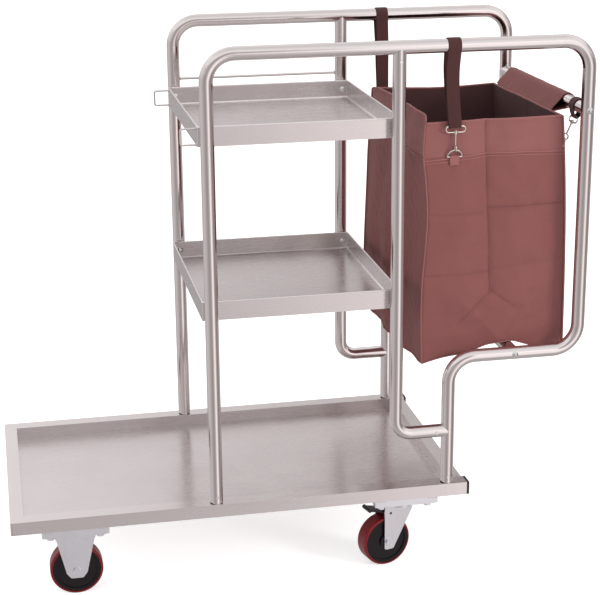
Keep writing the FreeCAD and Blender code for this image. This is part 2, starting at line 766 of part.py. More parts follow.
def make_joints():
    """Plugs in the tubes' ends, and the bolts and screws that go into them."""
    plugs, foot_bolts, screws, bar_bolts = [], [], [], []
    stop = "(tube_r + cope_gap + 0.5)"
    for _, sign in SIDES:
        y = f"{sign}*post_y"
        inward, outward = ("y", "-y") if sign < 0 else ("-y", "y")
        skin = f"{sign}*(post_y + tube_r)"
        for x in ("left_post_x", "right_post_x"):
            plugs.append(plug((x, y, "plug_foot_z"), "z"))
            head = hexagon((x, y, "rail_bottom"), "-z", "foot_head_r", "foot_head_h")
            shank_length = "plug_foot_z - rail_bottom + plug_length - 4"
            foot_bolts.append(fuse(head, rod((x, y, "rail_bottom"), "z", "bolt_r",
                                             shank_length)))
            screws.append(screw((x, skin, "plug_foot_z + plug_length/2"), outward))
        plugs.append(plug(("j_post_x", y, f"top_rail_z - {stop}"), "-z"))
        plugs.append(plug((f"right_post_x - {stop}", y, "j_foot_z"), "-x"))
        screws += [screw((x, skin, z), outward) for x, z in J_SCREWS]
        for x, z in (("outer_post_x", "upper_bar_z"), ("lower_bar_x", "lower_rail_z")):
            plugs.append(plug((x, f"{sign}*(post_y - {stop})", z), inward))
            shank_length = f"tube_r + {stop} + plug_length - 4"
            bar_bolts.append(dome_bolt((x, skin, z), outward, shank_length))
    node("tube_plugs", group(*plugs))
    node("foot_bolts", group(*foot_bolts))
    node("frame_screws", group(*screws))
    node("crossbar_bolts", group(*bar_bolts))


def dome_bolt(at, facing, shank_length):
    """A bolt whose domed head faces along an axis, from the face that it clamps."""
    shank = rod(("0", "0", "0"), "-z", "bolt_r", shank_length)
    return place(fuse(dome("dome_r", "dome_h"), shank), at, AXES[facing])


def screw(at, facing):
    """A small screw through the wall of a tube; its head stands on the tube's skin."""
    head = rod(("0", "0", "0"), "z", "screw_head_r", "screw_head_h")
    shank = rod(("0", "0", "0"), "-z", "screw_r", "tube_wall")
    return place(fuse(head, shank), at, AXES[facing])


def make_crossbars():
    for label, x, z, along in (("upper_crossbar", "outer_post_x", "upper_bar_z", "z"),
                               ("lower_crossbar", "lower_bar_x", "lower_rail_z", "x")):
        bar = cut(rod((x, "-post_y", z), "y", "tube_r", "2*post_y"),
                  rod((x, "-post_y", z), "y", "tube_bore_r", "2*post_y"))
        ends = [cope_cutter(x, f"{sign}*post_y", z, along) for _, sign in SIDES]
        node(label, cut(bar, *ends))


# ---------------------------------------------------------------- trays

def tray(rim):
    """A folded pan with a hem round its rim, and holes for its four bolts."""
    def block(inset, height, radius, low):
        half_y = f"(tray_half_y - {inset})"
        left, right = f"(tray_left_x + {inset})", f"(tray_right_x - {inset})"
        slab = plate("XY_Plane", ((left, f"-{half_y}"), (right, f"-{half_y}"),
                                  (right, half_y), (left, half_y)), height,
                     [(lambda m: True, radius)])
        return place(slab, ("0", "0", f"{low} + ({height})/2"))

    outer = block("0", "tray_h", "tray_corner_r", f"{rim} - tray_h")
    well = block("tray_sheet", "tray_h", "tray_corner_r - tray_sheet",
                 f"{rim} - tray_h + tray_sheet")
    mouth = block("2*tray_sheet", "tray_h", "tray_corner_r - 2*tray_sheet",
                  f"{rim} - tray_hem")
    lid = box(("tray_left_x", "-tray_half_y", f"{rim} - tray_hem"),
              ("tray_right_x - tray_left_x", "2*tray_half_y", "tray_h"))
    hollow = fuse(cut(well, lid), mouth)
    holes = [rod((x, "-2*tray_half_y", f"{rim} - tray_h/2"), "y", "bolt_r + hole_gap",
                 "4*tray_half_y") for x in ("left_post_x", "j_post_x")]
    return cut(outer, hollow, *holes)


def make_trays():
    bolts, spacers = [], []
    for label, rim in (("top_tray", "top_tray_z"), ("middle_tray", "middle_tray_z")):
        node(label, tray(rim))
        z = f"{rim} - tray_h/2"
        for _, sign in SIDES:
            inward, outward = ("y", "-y") if sign < 0 else ("-y", "y")
            for x in ("left_post_x", "j_post_x"):
                face = (x, f"{sign}*(tray_half_y - tray_sheet)", z)
                shank_length = "tray_sheet + spacer_length + tube_wall + 6"
                bolts.append(dome_bolt(face, inward, shank_length))
                start = (x, f"{sign}*tray_half_y", z)
                sleeve = rod(start, outward, "spacer_r", "spacer_length")
                bore = rod(start, outward, "bolt_r + hole_gap", "spacer_length")
                spacers.append(cut(sleeve, bore))
    node("tray_bolts", group(*bolts))
    node("tray_spacers", group(*spacers))

    node("guard_rod", rod(("left_post_x + tube_r", "post_y", "top_tray_z + guard_rise"), "x",
                          "guard_r", "j_post_x - left_post_x - 2*tube_r"))
    node("tray_hoops", group(*(hoop(f"{sign}*(tray_half_y - hoop_inset)") for _, sign in SIDES)))


def hoop(y):
    """A small U of wire on the tray's left wall, its two arms along X."""
    far = "(tray_left_x - hoop_reach)"
    high = "(top_tray_z - hoop_from_rim)"
    low = f"({high} - hoop_drop)"
    arm = "hoop_reach - hoop_bend_r"
    parts = [
        rod((f"{far} + hoop_bend_r", y, high), "x", "hoop_r", arm),
        rod((f"{far} + hoop_bend_r", y, low), "x", "hoop_r", arm),
        rod((far, y, f"{low} + hoop_bend_r"), "z", "hoop_r", "hoop_drop - 2*hoop_bend_r"),
        bend((f"{far} + hoop_bend_r", y, f"{high} - hoop_bend_r"), 90, "hoop_bend_r", "hoop_r"),
        bend((f"{far} + hoop_bend_r", y, f"{low} + hoop_bend_r"), 180, "hoop_bend_r", "hoop_r"),
    ]
    return fuse(*parts)


# ---------------------------------------------------------------- bag and straps

def bag_shell():
    """The bag's skin: an open box, wider below its hem, held up along the lower crossbar."""
    ridge = "(lower_rail_z + tube_r + soft_gap)"

    def profile(inset, top):
        return ((f"bag_left_x + {inset}", top),
                (f"bag_low_left_x + {inset}", f"bag_left_low_z + 1.4*{inset}"),
                ("lower_bar_x - tube_r", f"{ridge} + {inset}"),
                ("lower_bar_x + tube_r", f"{ridge} + {inset}"),
                (f"bag_low_right_x - {inset}", f"bag_right_low_z + 1.4*{inset}"),
                (f"bag_right_x - {inset}", "bag_hem_z"),
                (f"bag_right_x - {inset}", top))

    outer = plate("XZ_Plane", profile("0", "bag_rim_z"), "2*bag_half_y")
    inner = plate("XZ_Plane", profile("bag_cloth", "bag_rim_z + 20"),
                  "2*(bag_half_y - bag_cloth)")
    return cut(outer, inner)


def bag_sleeve():
    """The flap of the bag's right wall that goes over the upper crossbar."""
    wrap = "(tube_r + soft_gap + bag_cloth)"
    length = "(sleeve_far_y - sleeve_near_y)"
    web = plate("XZ_Plane",
                (("bag_right_x - bag_cloth", "bag_rim_z - bag_cloth"),
                 ("bag_right_x", "bag_rim_z - 3*bag_cloth"),
                 ("outer_post_x", f"upper_bar_z - {wrap}"),
                 ("outer_post_x", f"upper_bar_z + {wrap}")), length)
    place(web, ("0", "(sleeve_far_y + sleeve_near_y)/2", "0"))
    return fuse(web, rod(("outer_post_x", "sleeve_near_y", "upper_bar_z"), "y", wrap, length))


def ring_tab():
    """A tab of cloth that holds a D ring's bar, in the ring's own upright frame."""
    outer = rod(("-tab_w/2", "0", "0"), "x", "ring_bar_off", "tab_w")
    tail = box(("-tab_w/2", "ring_bar_off - 2*tab_cloth", "-tab_drop"),
               ("tab_w", "2*tab_cloth", "tab_drop"))
    bore = rod(("-tab_w/2 - 1", "0", "0"), "x", "wire_r + soft_gap", "tab_w + 2")
    return cut(fuse(outer, tail), bore)


def hardware_spots():
    """For each strap: its name, and the places and turns of its hook and its D ring."""
    tilt = Rotation(ABOUT_Y, number("side_hook_tilt"))
    quarter = Rotation(ABOUT_Z, 90)
    lean = number("ring_lean")
    yield ("near", ("hook_near_x", "-(bag_half_y + hook_stand)", "eye_z"), Rotation(),
           ("hook_near_x", "-(bag_half_y + ring_bar_off)", "ring_bar_z"), Rotation(), lean)
    half_turn = Rotation(ABOUT_Z, 180)
    yield ("far", ("hook_far_x", "bag_half_y + hook_stand", "eye_z"), half_turn,
           ("hook_far_x", "bag_half_y + ring_bar_off", "ring_bar_z"), half_turn, lean)
    yield ("side", ("side_eye_x", "side_strap_y", "side_eye_z"), tilt.multiply(quarter),
           ("side_ring_x", "side_strap_y", "side_ring_z"), quarter, number("side_ring_tilt"))


def hook_eye():
    """The oblong ring that the strap goes through, with the socket for the stem."""
    parts = []
    for end in (-1, 1):
        parts.append(rod(("-eye_half", "0", f"{end}*eye_end_r"), "x", "wire_r", "2*eye_half"))
        parts.append(bend((f"{end}*eye_half", "0", "0"), -90 * end, "eye_end_r", "wire_r",
                          sweep=180))
    parts.append(rod(("0", "0", "-eye_end_r - socket_h/2"), "z", "socket_r", "socket_h"))
    bore = rod(("0", "0", "-eye_end_r - socket_h"), "z", "stem_r + fit_gap", "2*socket_h")
    return cut(fuse(*parts), bore)


def snap_hook():
    """The stem, with its head above the socket, and the open hook below."""
    head_z = "(socket_h/2 - eye_end_r + 2*fit_gap)"
    head = rod(("0", "0", head_z), "z", "stem_head_r", "stem_head_h")
    stem = rod(("0", "0", head_z), "-z", "stem_r", f"hook_drop - hook_loop_r + {head_z}")
    collar = rod(("0", "0", "-eye_end_r - socket_h/2 - 2*fit_gap"), "-z", "stem_head_r",
                 "stem_head_h")
    loop = bend(("0", "0", "0"), 90, "hook_loop_r", "wire_r",
                sweep=360 - number("hook_gap"))
    turned = place(group(loop), ("0", "0", "-hook_drop"), Rotation(ABOUT_Z, 90))
    return fuse(head, stem, collar, turned)


def snap_gate():
    """The bar that closes the hook, from its pivot beside the stem to the hook's tip."""
    gate = rod(("0", "0", "0"), "-z", "gate_r", "gate_length")
    pivot = rod(("-wire_r", "0", "0"), "x", "gate_r", "2*wire_r")
    lean = math.degrees(math.atan2(number("gate_across"), number("gate_down")))
    return place(fuse(gate, pivot), ("0", "gate_y", "gate_z"),
                 Rotation(Vector(1, 0, 0), lean))


def d_ring():
    """Half a circle of wire closed by a straight bar; the bar lies on local X."""
    bar = rod(("-ring_r", "0", "0"), "x", "wire_r", "2*ring_r")
    ends = []
    for end in (-1, 1):
        ball = bind(doc.addObject("Part::Sphere", "corner"), Radius="wire_r")
        ends.append(place(ball, (f"{end}*ring_r", "0", "0")))
    return fuse(bar, bend(("0", "0", "0"), 0, "ring_r", "wire_r", sweep=180), *ends)


def make_bag():
    tabs, eyes = [], []
    for name, hook_at, hook_turn, ring_at, ring_turn, lean in hardware_spots():
        tabs.append(place(ring_tab(), ring_at, ring_turn))
        eyes.append(place(hook_eye(), hook_at, hook_turn))
        node(f"snap_hook_{name}", snap_hook(), hook_at, hook_turn)
        node(f"snap_gate_{name}", group(snap_gate()), hook_at, hook_turn)
        tipped = ring_turn.multiply(Rotation(Vector(1, 0, 0), lean))
        node(f"d_ring_{name}", d_ring(), ring_at, tipped)
    node("hook_eyes", group(*eyes))
    channel = rod(("outer_post_x", "-post_y", "upper_bar_z"), "y", "tube_r + soft_gap",
                  "2*post_y")
    node("linen_bag", cut(fuse(bag_shell(), bag_sleeve(), *tabs), channel))

    rail_loop = "tube_r + soft_gap"
    bar_loop = "wire_r + soft_gap"
    eye_bar = "eye_z + eye_end_r"
    for side, sign in SIDES:
        band = belt((f"{sign}*post_y", "top_rail_z"), rail_loop,
                    (f"{sign}*(bag_half_y + hook_stand)", eye_bar), bar_loop,
                    "strap_cloth", "strap_w")
        node(f"strap_{side}", band, (f"strap_{side}_x", "0", "0"))
    tilt = number("side_hook_tilt")
    bar_x = f"side_eye_x + eye_end_r*{math.sin(math.radians(tilt))}"
    bar_z = f"side_eye_z + eye_end_r*{math.cos(math.radians(tilt))}"
    band = belt(("-outer_post_x", "upper_bar_z"), rail_loop, (f"-({bar_x})", bar_z), bar_loop,
                "strap_cloth", "strap_w")
    node("strap_side", band, ("0", "side_strap_y", "0"), Rotation(ABOUT_Z, 90))


# ---------------------------------------------------------------- whole trolley

def check():
    """Stops if any object failed, or any sub-part has no sound shape."""
    failed = [f"{thing.Name} ({thing.Label})" for thing in doc.Objects
              if {"Invalid", "Error"} & set(thing.State)]
    if failed:
        raise RuntimeError(f"failed: {', '.join(failed)}")
    for label, thing in nodes.items():
        if thing.Shape.isNull() or not thing.Shape.isValid():
            raise RuntimeError(f"{label} has no sound shape")


def main():
    make_base()
    make_brackets()
    make_fixed_casters()
    make_swivel_casters()
    make_side_frames()
    make_joints()
    make_crossbars()
    make_trays()
    make_bag()
    doc.recompute()
    check()
    os.makedirs("parts", exist_ok=True)
    for label, thing in nodes.items():
        thing.Shape.exportStep(f"parts/{label}.step")
    print(f"{len(nodes)} nodes")


main()
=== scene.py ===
"""Linen trolley: its looks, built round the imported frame.

Metres throughout.  +X runs towards the linen bag, +Y towards the guard rod, +Z up.
"""

import json
import logging
import math
from dataclasses import dataclass, field
from enum import Enum
from typing import Callable

import bmesh
import bpy
import numpy as np
from mathutils import Matrix, Vector

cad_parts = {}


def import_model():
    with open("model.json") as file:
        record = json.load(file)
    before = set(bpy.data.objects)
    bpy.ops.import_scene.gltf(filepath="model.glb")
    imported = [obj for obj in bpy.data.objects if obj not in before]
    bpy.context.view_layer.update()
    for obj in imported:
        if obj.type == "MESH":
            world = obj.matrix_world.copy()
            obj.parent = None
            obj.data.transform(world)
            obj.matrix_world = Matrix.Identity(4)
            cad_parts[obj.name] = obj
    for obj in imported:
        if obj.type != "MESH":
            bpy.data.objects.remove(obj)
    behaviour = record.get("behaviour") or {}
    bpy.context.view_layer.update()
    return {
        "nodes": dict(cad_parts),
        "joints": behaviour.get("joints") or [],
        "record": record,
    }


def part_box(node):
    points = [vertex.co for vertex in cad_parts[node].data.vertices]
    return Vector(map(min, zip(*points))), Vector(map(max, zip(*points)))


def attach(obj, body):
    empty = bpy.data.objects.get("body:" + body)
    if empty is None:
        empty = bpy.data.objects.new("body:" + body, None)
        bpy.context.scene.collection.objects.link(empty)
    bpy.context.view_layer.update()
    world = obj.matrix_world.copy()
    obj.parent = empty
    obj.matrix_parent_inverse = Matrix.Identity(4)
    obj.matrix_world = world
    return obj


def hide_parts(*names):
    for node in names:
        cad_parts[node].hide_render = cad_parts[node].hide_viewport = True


Array = np.ndarray
Keys = tuple[tuple[float, float], ...]

log = logging.getLogger("linen_trolley")


class Side(Enum):
    """The four walls of the bag, in the order in which a seam runs round it."""

    NEAR = 0
    RIGHT = 1
    FAR = 2
    LEFT = 3


class Body(Enum):
    """Bodies of the frame that new pieces ride on."""

    TROLLEY = "trolley"


# ------------------------------------------------------------------ mesh tools

def mesh_from_grid(name: str, points: Array, closed_u: bool = False, closed_v: bool = False,
                   uv: tuple[Array, Array] | None = None, flip: bool = False) -> bpy.types.Object:
    """Makes a mesh of the quads between neighbours of a grid of points.

    Args:
        name: the piece's name.
        points: positions, shape (u, v, 3); du x dv points outwards unless flip is set.
        closed_u: whether the last row joins the first.
        closed_v: whether the last column joins the first.
        uv: distances along u and v in metres, one more than the rows or columns where closed.
        flip: turns every face over.

    Returns:
        The new object, linked to the scene, with smooth faces.
    """
    rows, columns = points.shape[:2]
    i, j = np.meshgrid(np.arange(rows if closed_u else rows - 1),
                       np.arange(columns if closed_v else columns - 1), indexing="ij")
    i, j = i.ravel(), j.ravel()
    corner_i = np.stack([i, i + 1, i + 1, i], 1)
    corner_j = np.stack([j, j, j + 1, j + 1], 1)
    if flip:
        corner_i, corner_j = corner_i[:, ::-1], corner_j[:, ::-1]
    faces = (corner_i % rows) * columns + corner_j % columns
    mesh = bpy.data.meshes.new(name)
    mesh.vertices.add(rows * columns)
    mesh.vertices.foreach_set("co", points.reshape(-1, 3).astype(np.float32).ravel())
    mesh.loops.add(faces.size)
    mesh.loops.foreach_set("vertex_index", faces.astype(np.int32).ravel())
    mesh.polygons.add(len(faces))
    mesh.polygons.foreach_set("loop_start", np.arange(0, faces.size, 4, dtype=np.int32))
    mesh.update(calc_edges=True)
    mesh.polygons.foreach_set("use_smooth", np.ones(len(faces), bool))
    if uv is not None:
        layer = mesh.uv_layers.new(name="cloth")
        values = np.stack([uv[0][corner_i], uv[1][corner_j]], -1)
        layer.data.foreach_set("uv", values.astype(np.float32).ravel())
    piece = bpy.data.objects.new(name, mesh)
    bpy.context.scene.collection.objects.link(piece)
    return piece


def distances(path: Array, closed: bool = False) -> Array:
    """Distance along a path at each of its points.

    Args:
        path: points, shape (n, 3).
        closed: whether the path's end joins its start; then its whole length comes last.

    Returns:
        Distances in metres, starting at 0.
    """
    ends = np.vstack([path, path[:1]]) if closed else path
    steps = np.linalg.norm(np.diff(ends, axis=0), axis=1)
    return np.concatenate([[0.0], np.cumsum(steps)])


def frames_along(path: Array, closed: bool, reference: Vector) -> tuple[Array, Array, Array]:
    """Tangent, normal and binormal at each point of a path.

    The tangent is the direction from the point before to the point after.  The normal is the
    reference direction with its part along the tangent taken off, made one long, and the
    binormal is tangent x normal.

    Args:
        path: points, shape (n, 3).
        closed: whether the path's end joins its start.
        reference: a direction that the path never runs along.

    Returns:
        Three arrays of shape (n, 3).
    """
    if closed:
        tangent = np.roll(path, -1, 0) - np.roll(path, 1, 0)
    else:
        tangent = np.gradient(path, axis=0)
    tangent /= np.linalg.norm(tangent, axis=1, keepdims=True)
    fixed = np.array(reference, float)
    normal = fixed - (tangent @ fixed)[:, None] * tangent
    normal /= np.linalg.norm(normal, axis=1, keepdims=True)
    return tangent, normal, np.cross(tangent, normal)


def tube(name: str, path: Array, radius: float | Array, reference: Vector, closed: bool = False,
         sides: int = 12) -> bpy.types.Object:
    """A round tube along a path: path + radius (cos a normal + sin a binormal).

    Args:
        name: the piece's name.
        path: points of its centre line.
        radius: one radius, or one for each point.
        reference: a direction that the path never runs along.
        closed: whether it is a ring; otherwise its ends are closed to a point.
        sides: how many sides the section has.

    Returns:
        The new object.
    """
    size = np.broadcast_to(np.asarray(radius, float), (len(path),))
    if not closed:
        path = np.vstack([path[:1], path, path[-1:]])
        size = np.concatenate([[1e-5], size, [1e-5]])
        spread = path.copy()
        spread[0] -= (path[2] - path[1]) * 1e-3
        spread[-1] += (path[-2] - path[-3]) * 1e-3
        path = spread
    _, normal, binormal = frames_along(path, closed, reference)
    angle = np.linspace(0, 2 * math.pi, sides, endpoint=False)
    ring = (np.cos(angle)[None, :, None] * normal[:, None]
            + np.sin(angle)[None, :, None] * binormal[:, None])
    points = path[:, None] + size[:, None, None] * ring
    around = np.linspace(0, 2 * math.pi * float(size.max()), sides + 1)
    return mesh_from_grid(name, points, closed, True, (distances(path, closed), around),
                          flip=True)


def ribbon(name: str, path: Array, across: Array, width: float | Array, thickness: float,
           closed: bool = False) -> bpy.types.Object:
    """A flat band with rounded edges carried along a path.

    Its section is a rounded bar: half the width times sign(cos a) |cos a|^0.35 across, and
    half the thickness times sign(sin a) |sin a|^0.7 through.

    Args:
        name: the piece's name.
        path: points of its middle line, shape (n, 3).
        across: unit directions of its width, shape (n, 3) or (3,).
        width: its width, one or for each point.
        thickness: its thickness.
        closed: whether it is a loop.

    Returns:
        The new object.
    """
    across = np.broadcast_to(across, path.shape)
    if closed:
        tangent = np.roll(path, -1, 0) - np.roll(path, 1, 0)
    else:
        tangent = np.gradient(path, axis=0)
    tangent /= np.linalg.norm(tangent, axis=1, keepdims=True)
    across = across - (across * tangent).sum(1, keepdims=True) * tangent
    across /= np.linalg.norm(across, axis=1, keepdims=True)
    through = np.cross(tangent, across)
    angle = np.linspace(0, 2 * math.pi, 28, endpoint=False)
    wide = np.sign(np.cos(angle)) * np.abs(np.cos(angle)) ** 0.35
    thick = np.sign(np.sin(angle)) * np.abs(np.sin(angle)) ** 0.7
    half = np.broadcast_to(np.asarray(width, float) / 2, (len(path),))
    points = (path[:, None] + (half[:, None] * wide[None])[..., None] * across[:, None]
              + (thickness / 2 * thick)[None, :, None] * through[:, None])
    side = np.append(wide, wide[0]) * float(half.mean())
    piece = mesh_from_grid(name, points, closed, True, (distances(path, closed), side), flip=True)
    if not closed:
        cap_ends(piece)
    return piece


def rework(piece: bpy.types.Object, change: Callable[[bmesh.types.BMesh], object]) -> None:
    """Changes a piece's mesh in place.

    Args:
        piece: the piece.
        change: what is done to its editable mesh.
    """
    work = bmesh.new()
    work.from_mesh(piece.data)
    change(work)
    work.to_mesh(piece.data)
    work.free()


def face_outwards(piece: bpy.types.Object) -> None:
    """Turns the faces of a closed piece outwards."""
    rework(piece, lambda work: bmesh.ops.recalc_face_normals(work, faces=work.faces))


def cap_ends(piece: bpy.types.Object) -> None:
    """Fills the open ends of a band or tube."""
    def fill(work: bmesh.types.BMesh) -> None:
        """Fills every rim of the mesh."""
        rims = [edge for edge in work.edges if edge.is_boundary]
        bmesh.ops.holes_fill(work, edges=rims, sides=0)
    rework(piece, fill)
    face_outwards(piece)


def weld(piece: bpy.types.Object, reach: float) -> None:
    """Merges a piece's points that lie within reach of each other."""
    rework(piece, lambda work: bmesh.ops.remove_doubles(work, verts=work.verts, dist=reach))


def join(name: str, pieces: list[bpy.types.Object]) -> bpy.types.Object:
    """Makes one piece of several.

    Args:
        name: the new piece's name.
        pieces: what is joined; the first gives its materials.

    Returns:
        The joined piece.
    """
    with bpy.context.temp_override(active_object=pieces[0], selected_editable_objects=pieces):
        bpy.ops.object.join()
    pieces[0].name = name
    pieces[0].data.name = name
    return pieces[0]


def wall_thickness(piece: bpy.types.Object, thickness: float, inwards: bool = True) -> None:
    """Gives a sheet its thickness.

    Args:
        piece: the sheet.
        thickness: how thick it gets.
        inwards: whether it grows behind its faces, or else to both sides.
    """
    solid = piece.modifiers.new("thickness", "SOLIDIFY")
    solid.thickness = thickness
    solid.offset = -1 if inwards else 0
    solid.use_even_offset = True


def stitches(name: str, path: Array, outwards: Array, pitch: float, radius: float
             ) -> bpy.types.Object:
    """A row of short thread stitches laid along a path, each a flat six-sided pod.

    A stitch is a spindle that covers a part of the pitch: its radius is radius times
    sqrt(sin(pi t)) along its length t, and it stands proud of the path.

    Args:
        name: the piece's name.
        path: points that the row follows, shape (n, 3).
        outwards: unit directions away from the cloth, shape (n, 3) or (3,).
        pitch: distance from stitch to stitch.
        radius: half a thread's thickness.

    Returns:
        The new object.
    """
    covered, flatness, proud, sides = 0.62, 1.2, 0.4, 6
    outwards = np.broadcast_to(outwards, path.shape)
    along = distances(path)
    starts = np.arange(pitch / 2, along[-1] - pitch, pitch)
    t = np.linspace(0, 1, 6)
    where = starts[:, None] + covered * pitch * t[None]
    centre = np.stack([np.interp(where, along, path[:, k]) for k in range(3)], -1)
    out = np.stack([np.interp(where, along, outwards[:, k]) for k in range(3)], -1)
    tangent = centre[:, -1:] - centre[:, :1]
    tangent /= np.linalg.norm(tangent, axis=-1, keepdims=True)
    side = np.cross(np.broadcast_to(tangent, out.shape), out)
    angle = np.linspace(0, 2 * math.pi, sides, endpoint=False)
    size = radius * np.sqrt(np.sin(math.pi * np.clip(t, 0.03, 0.97)))
    ring = (np.cos(angle)[:, None] * side[:, :, None] * flatness
            + np.sin(angle)[:, None] * out[:, :, None])
    points = (centre[:, :, None] + size[None, :, None, None] * ring
              + out[:, :, None] * radius * proud)
    count, rings = points.shape[:2]
    base = np.arange(count)[:, None, None] * rings * sides
    i, j = np.meshgrid(np.arange(rings - 1), np.arange(sides), indexing="ij")
    quad = np.stack([i * sides + j, i * sides + (j + 1) % sides,
                     (i + 1) * sides + (j + 1) % sides, (i + 1) * sides + j], -1).reshape(-1, 4)
    faces = (base + quad[None]).reshape(-1, 4)
    mesh = bpy.data.meshes.new(name)
    mesh.from_pydata(points.reshape(-1, 3).tolist(), [], faces.tolist())
    mesh.polygons.foreach_set("use_smooth", np.ones(len(faces), bool))
    piece = bpy.data.objects.new(name, mesh)
    bpy.context.scene.collection.objects.link(piece)
    cap_ends(piece)
    return piece


def curve(keys: Keys, at: Array) -> Array:
    """A smooth line through (place, value) keys, read at places.

    Between two keys the value goes from one to the next by a cubic whose slopes at the keys
    are those of the line between the neighbours.

    Args:
        keys: (place, value) pairs in rising order of place.
        at: places to read, any shape.

    Returns:
        Values of the same shape.
    """
    x, y = (np.array(part, float) for part in zip(*keys))
    slope = np.gradient(y, x)
    at = np.clip(at, x[0], x[-1])
    k = np.clip(np.searchsorted(x, at, side="right") - 1, 0, len(x) - 2)
    span = x[k + 1] - x[k]
    t = (at - x[k]) / span
    return ((2 * t**3 - 3 * t**2 + 1) * y[k] + (t**3 - 2 * t**2 + t) * span * slope[k]
            + (3 * t**2 - 2 * t**3) * y[k + 1] + (t**3 - t**2) * span * slope[k + 1])


def ripple(u: Array, v: Array, seed: int, scale: float, terms: int = 9) -> Array:
    """Soft uneven waves of about unit height: a sum of sines in chance directions.

    Args:
        u: first place, in metres.
        v: second place, in metres.
        seed: picks the waves.
        scale: the typical wave length in metres.
        terms: how many waves are added.

    Returns:
        Heights of the same shape as u and v.
    """
    chance = np.random.default_rng(seed)
    total = np.zeros(np.broadcast(u, v).shape)
    for _ in range(terms):
        turn, phase = chance.uniform(0, 2 * math.pi, 2)
        length = scale * chance.uniform(0.6, 1.8)
        total = total + np.sin(2 * math.pi * (u * math.cos(turn) + v * math.sin(turn)) / length
                               + phase)
    return total / math.sqrt(terms)


# ------------------------------------------------------------------ node tools

class Net:
    """Adds nodes to one tree, with their values and links given in the same call."""

    def __init__(self, tree: bpy.types.NodeTree) -> None:
        """Keeps the tree that nodes are added to."""
        self.tree = tree

    def feed(self, node: bpy.types.Node, values: dict[str | int, object]) -> None:
        """Fills a node's inputs.

        Args:
            node: the node.
            values: what goes into its inputs: a socket is linked, anything else is set.
        """
        for name, value in values.items():
            socket = node.inputs[name]
            if isinstance(value, bpy.types.NodeSocket):
                self.tree.links.new(value, socket)
            else:
                socket.default_value = value

    def add(self, kind: str, values: dict[str | int, object] | None = None,
            **settings: object) -> bpy.types.Node:
        """Adds a node.

        Args:
            kind: the node's type name.
            values: what goes into its inputs, as for feed.
            settings: the node's own properties.

        Returns:
            The node.
        """
        made = self.tree.nodes.new(kind)
        for name, value in settings.items():
            setattr(made, name, value)
        self.feed(made, values or {})
        return made

    def math(self, operation: str, a: object, b: object = 0.0) -> bpy.types.NodeSocket:
        """The result of a Math node."""
        return self.add("ShaderNodeMath", {0: a, 1: b}, operation=operation).outputs[0]

    def vector(self, operation: str, a: object, b: object) -> bpy.types.Node:
        """A Vector Math node on two vectors."""
        return self.add("ShaderNodeVectorMath", {0: a, 1: b}, operation=operation)

    def scaled(self, vector: object, scale: tuple[float, float, float]) -> bpy.types.NodeSocket:
        """A vector times another, part by part."""
        return self.vector("MULTIPLY", vector, scale).outputs[0]

    def noise(self, place: object, scale: float, detail: float = 2.0, roughness: float = 0.5
              ) -> bpy.types.NodeSocket:
        """The value of a Noise texture, uneven about a half."""
        return self.add("ShaderNodeTexNoise", {"Vector": place, "Scale": scale, "Detail": detail,
                                               "Roughness": roughness}).outputs["Fac"]

    def range(self, value: object, low: float, high: float, to_low: float, to_high: float
              ) -> bpy.types.NodeSocket:
        """A value carried from one range to another and held inside it."""
        made = self.add("ShaderNodeMapRange", {"Value": value, "From Min": low, "From Max": high,
                                               "To Min": to_low, "To Max": to_high})
        return made.outputs["Result"]

    def mix(self, share: object, a: object, b: object) -> bpy.types.NodeSocket:
        """Two colours mixed by a share."""
        factor, first, second, result = 0, 6, 7, 2
        made = self.add("ShaderNodeMix", {factor: share}, data_type="RGBA")
        self.feed(made, {first: a, second: b})
        return made.outputs[result]

    def bump(self, height: object, strength: float, distance: float,
             over: bpy.types.NodeSocket | None = None) -> bpy.types.NodeSocket:
        """The normal of a Bump node.

        Args:
            height: what stands out.
            strength: how much of it shows, 0 to 1.
            distance: how far a height of 1 stands out, in metres.
            over: a normal that it is laid over.

        Returns:
            The bumped normal.
        """
        made = self.add("ShaderNodeBump", {"Height": height, "Strength": strength,
                                           "Distance": distance})
        if over is not None:
            self.feed(made, {"Normal": over})
        return made.outputs["Normal"]


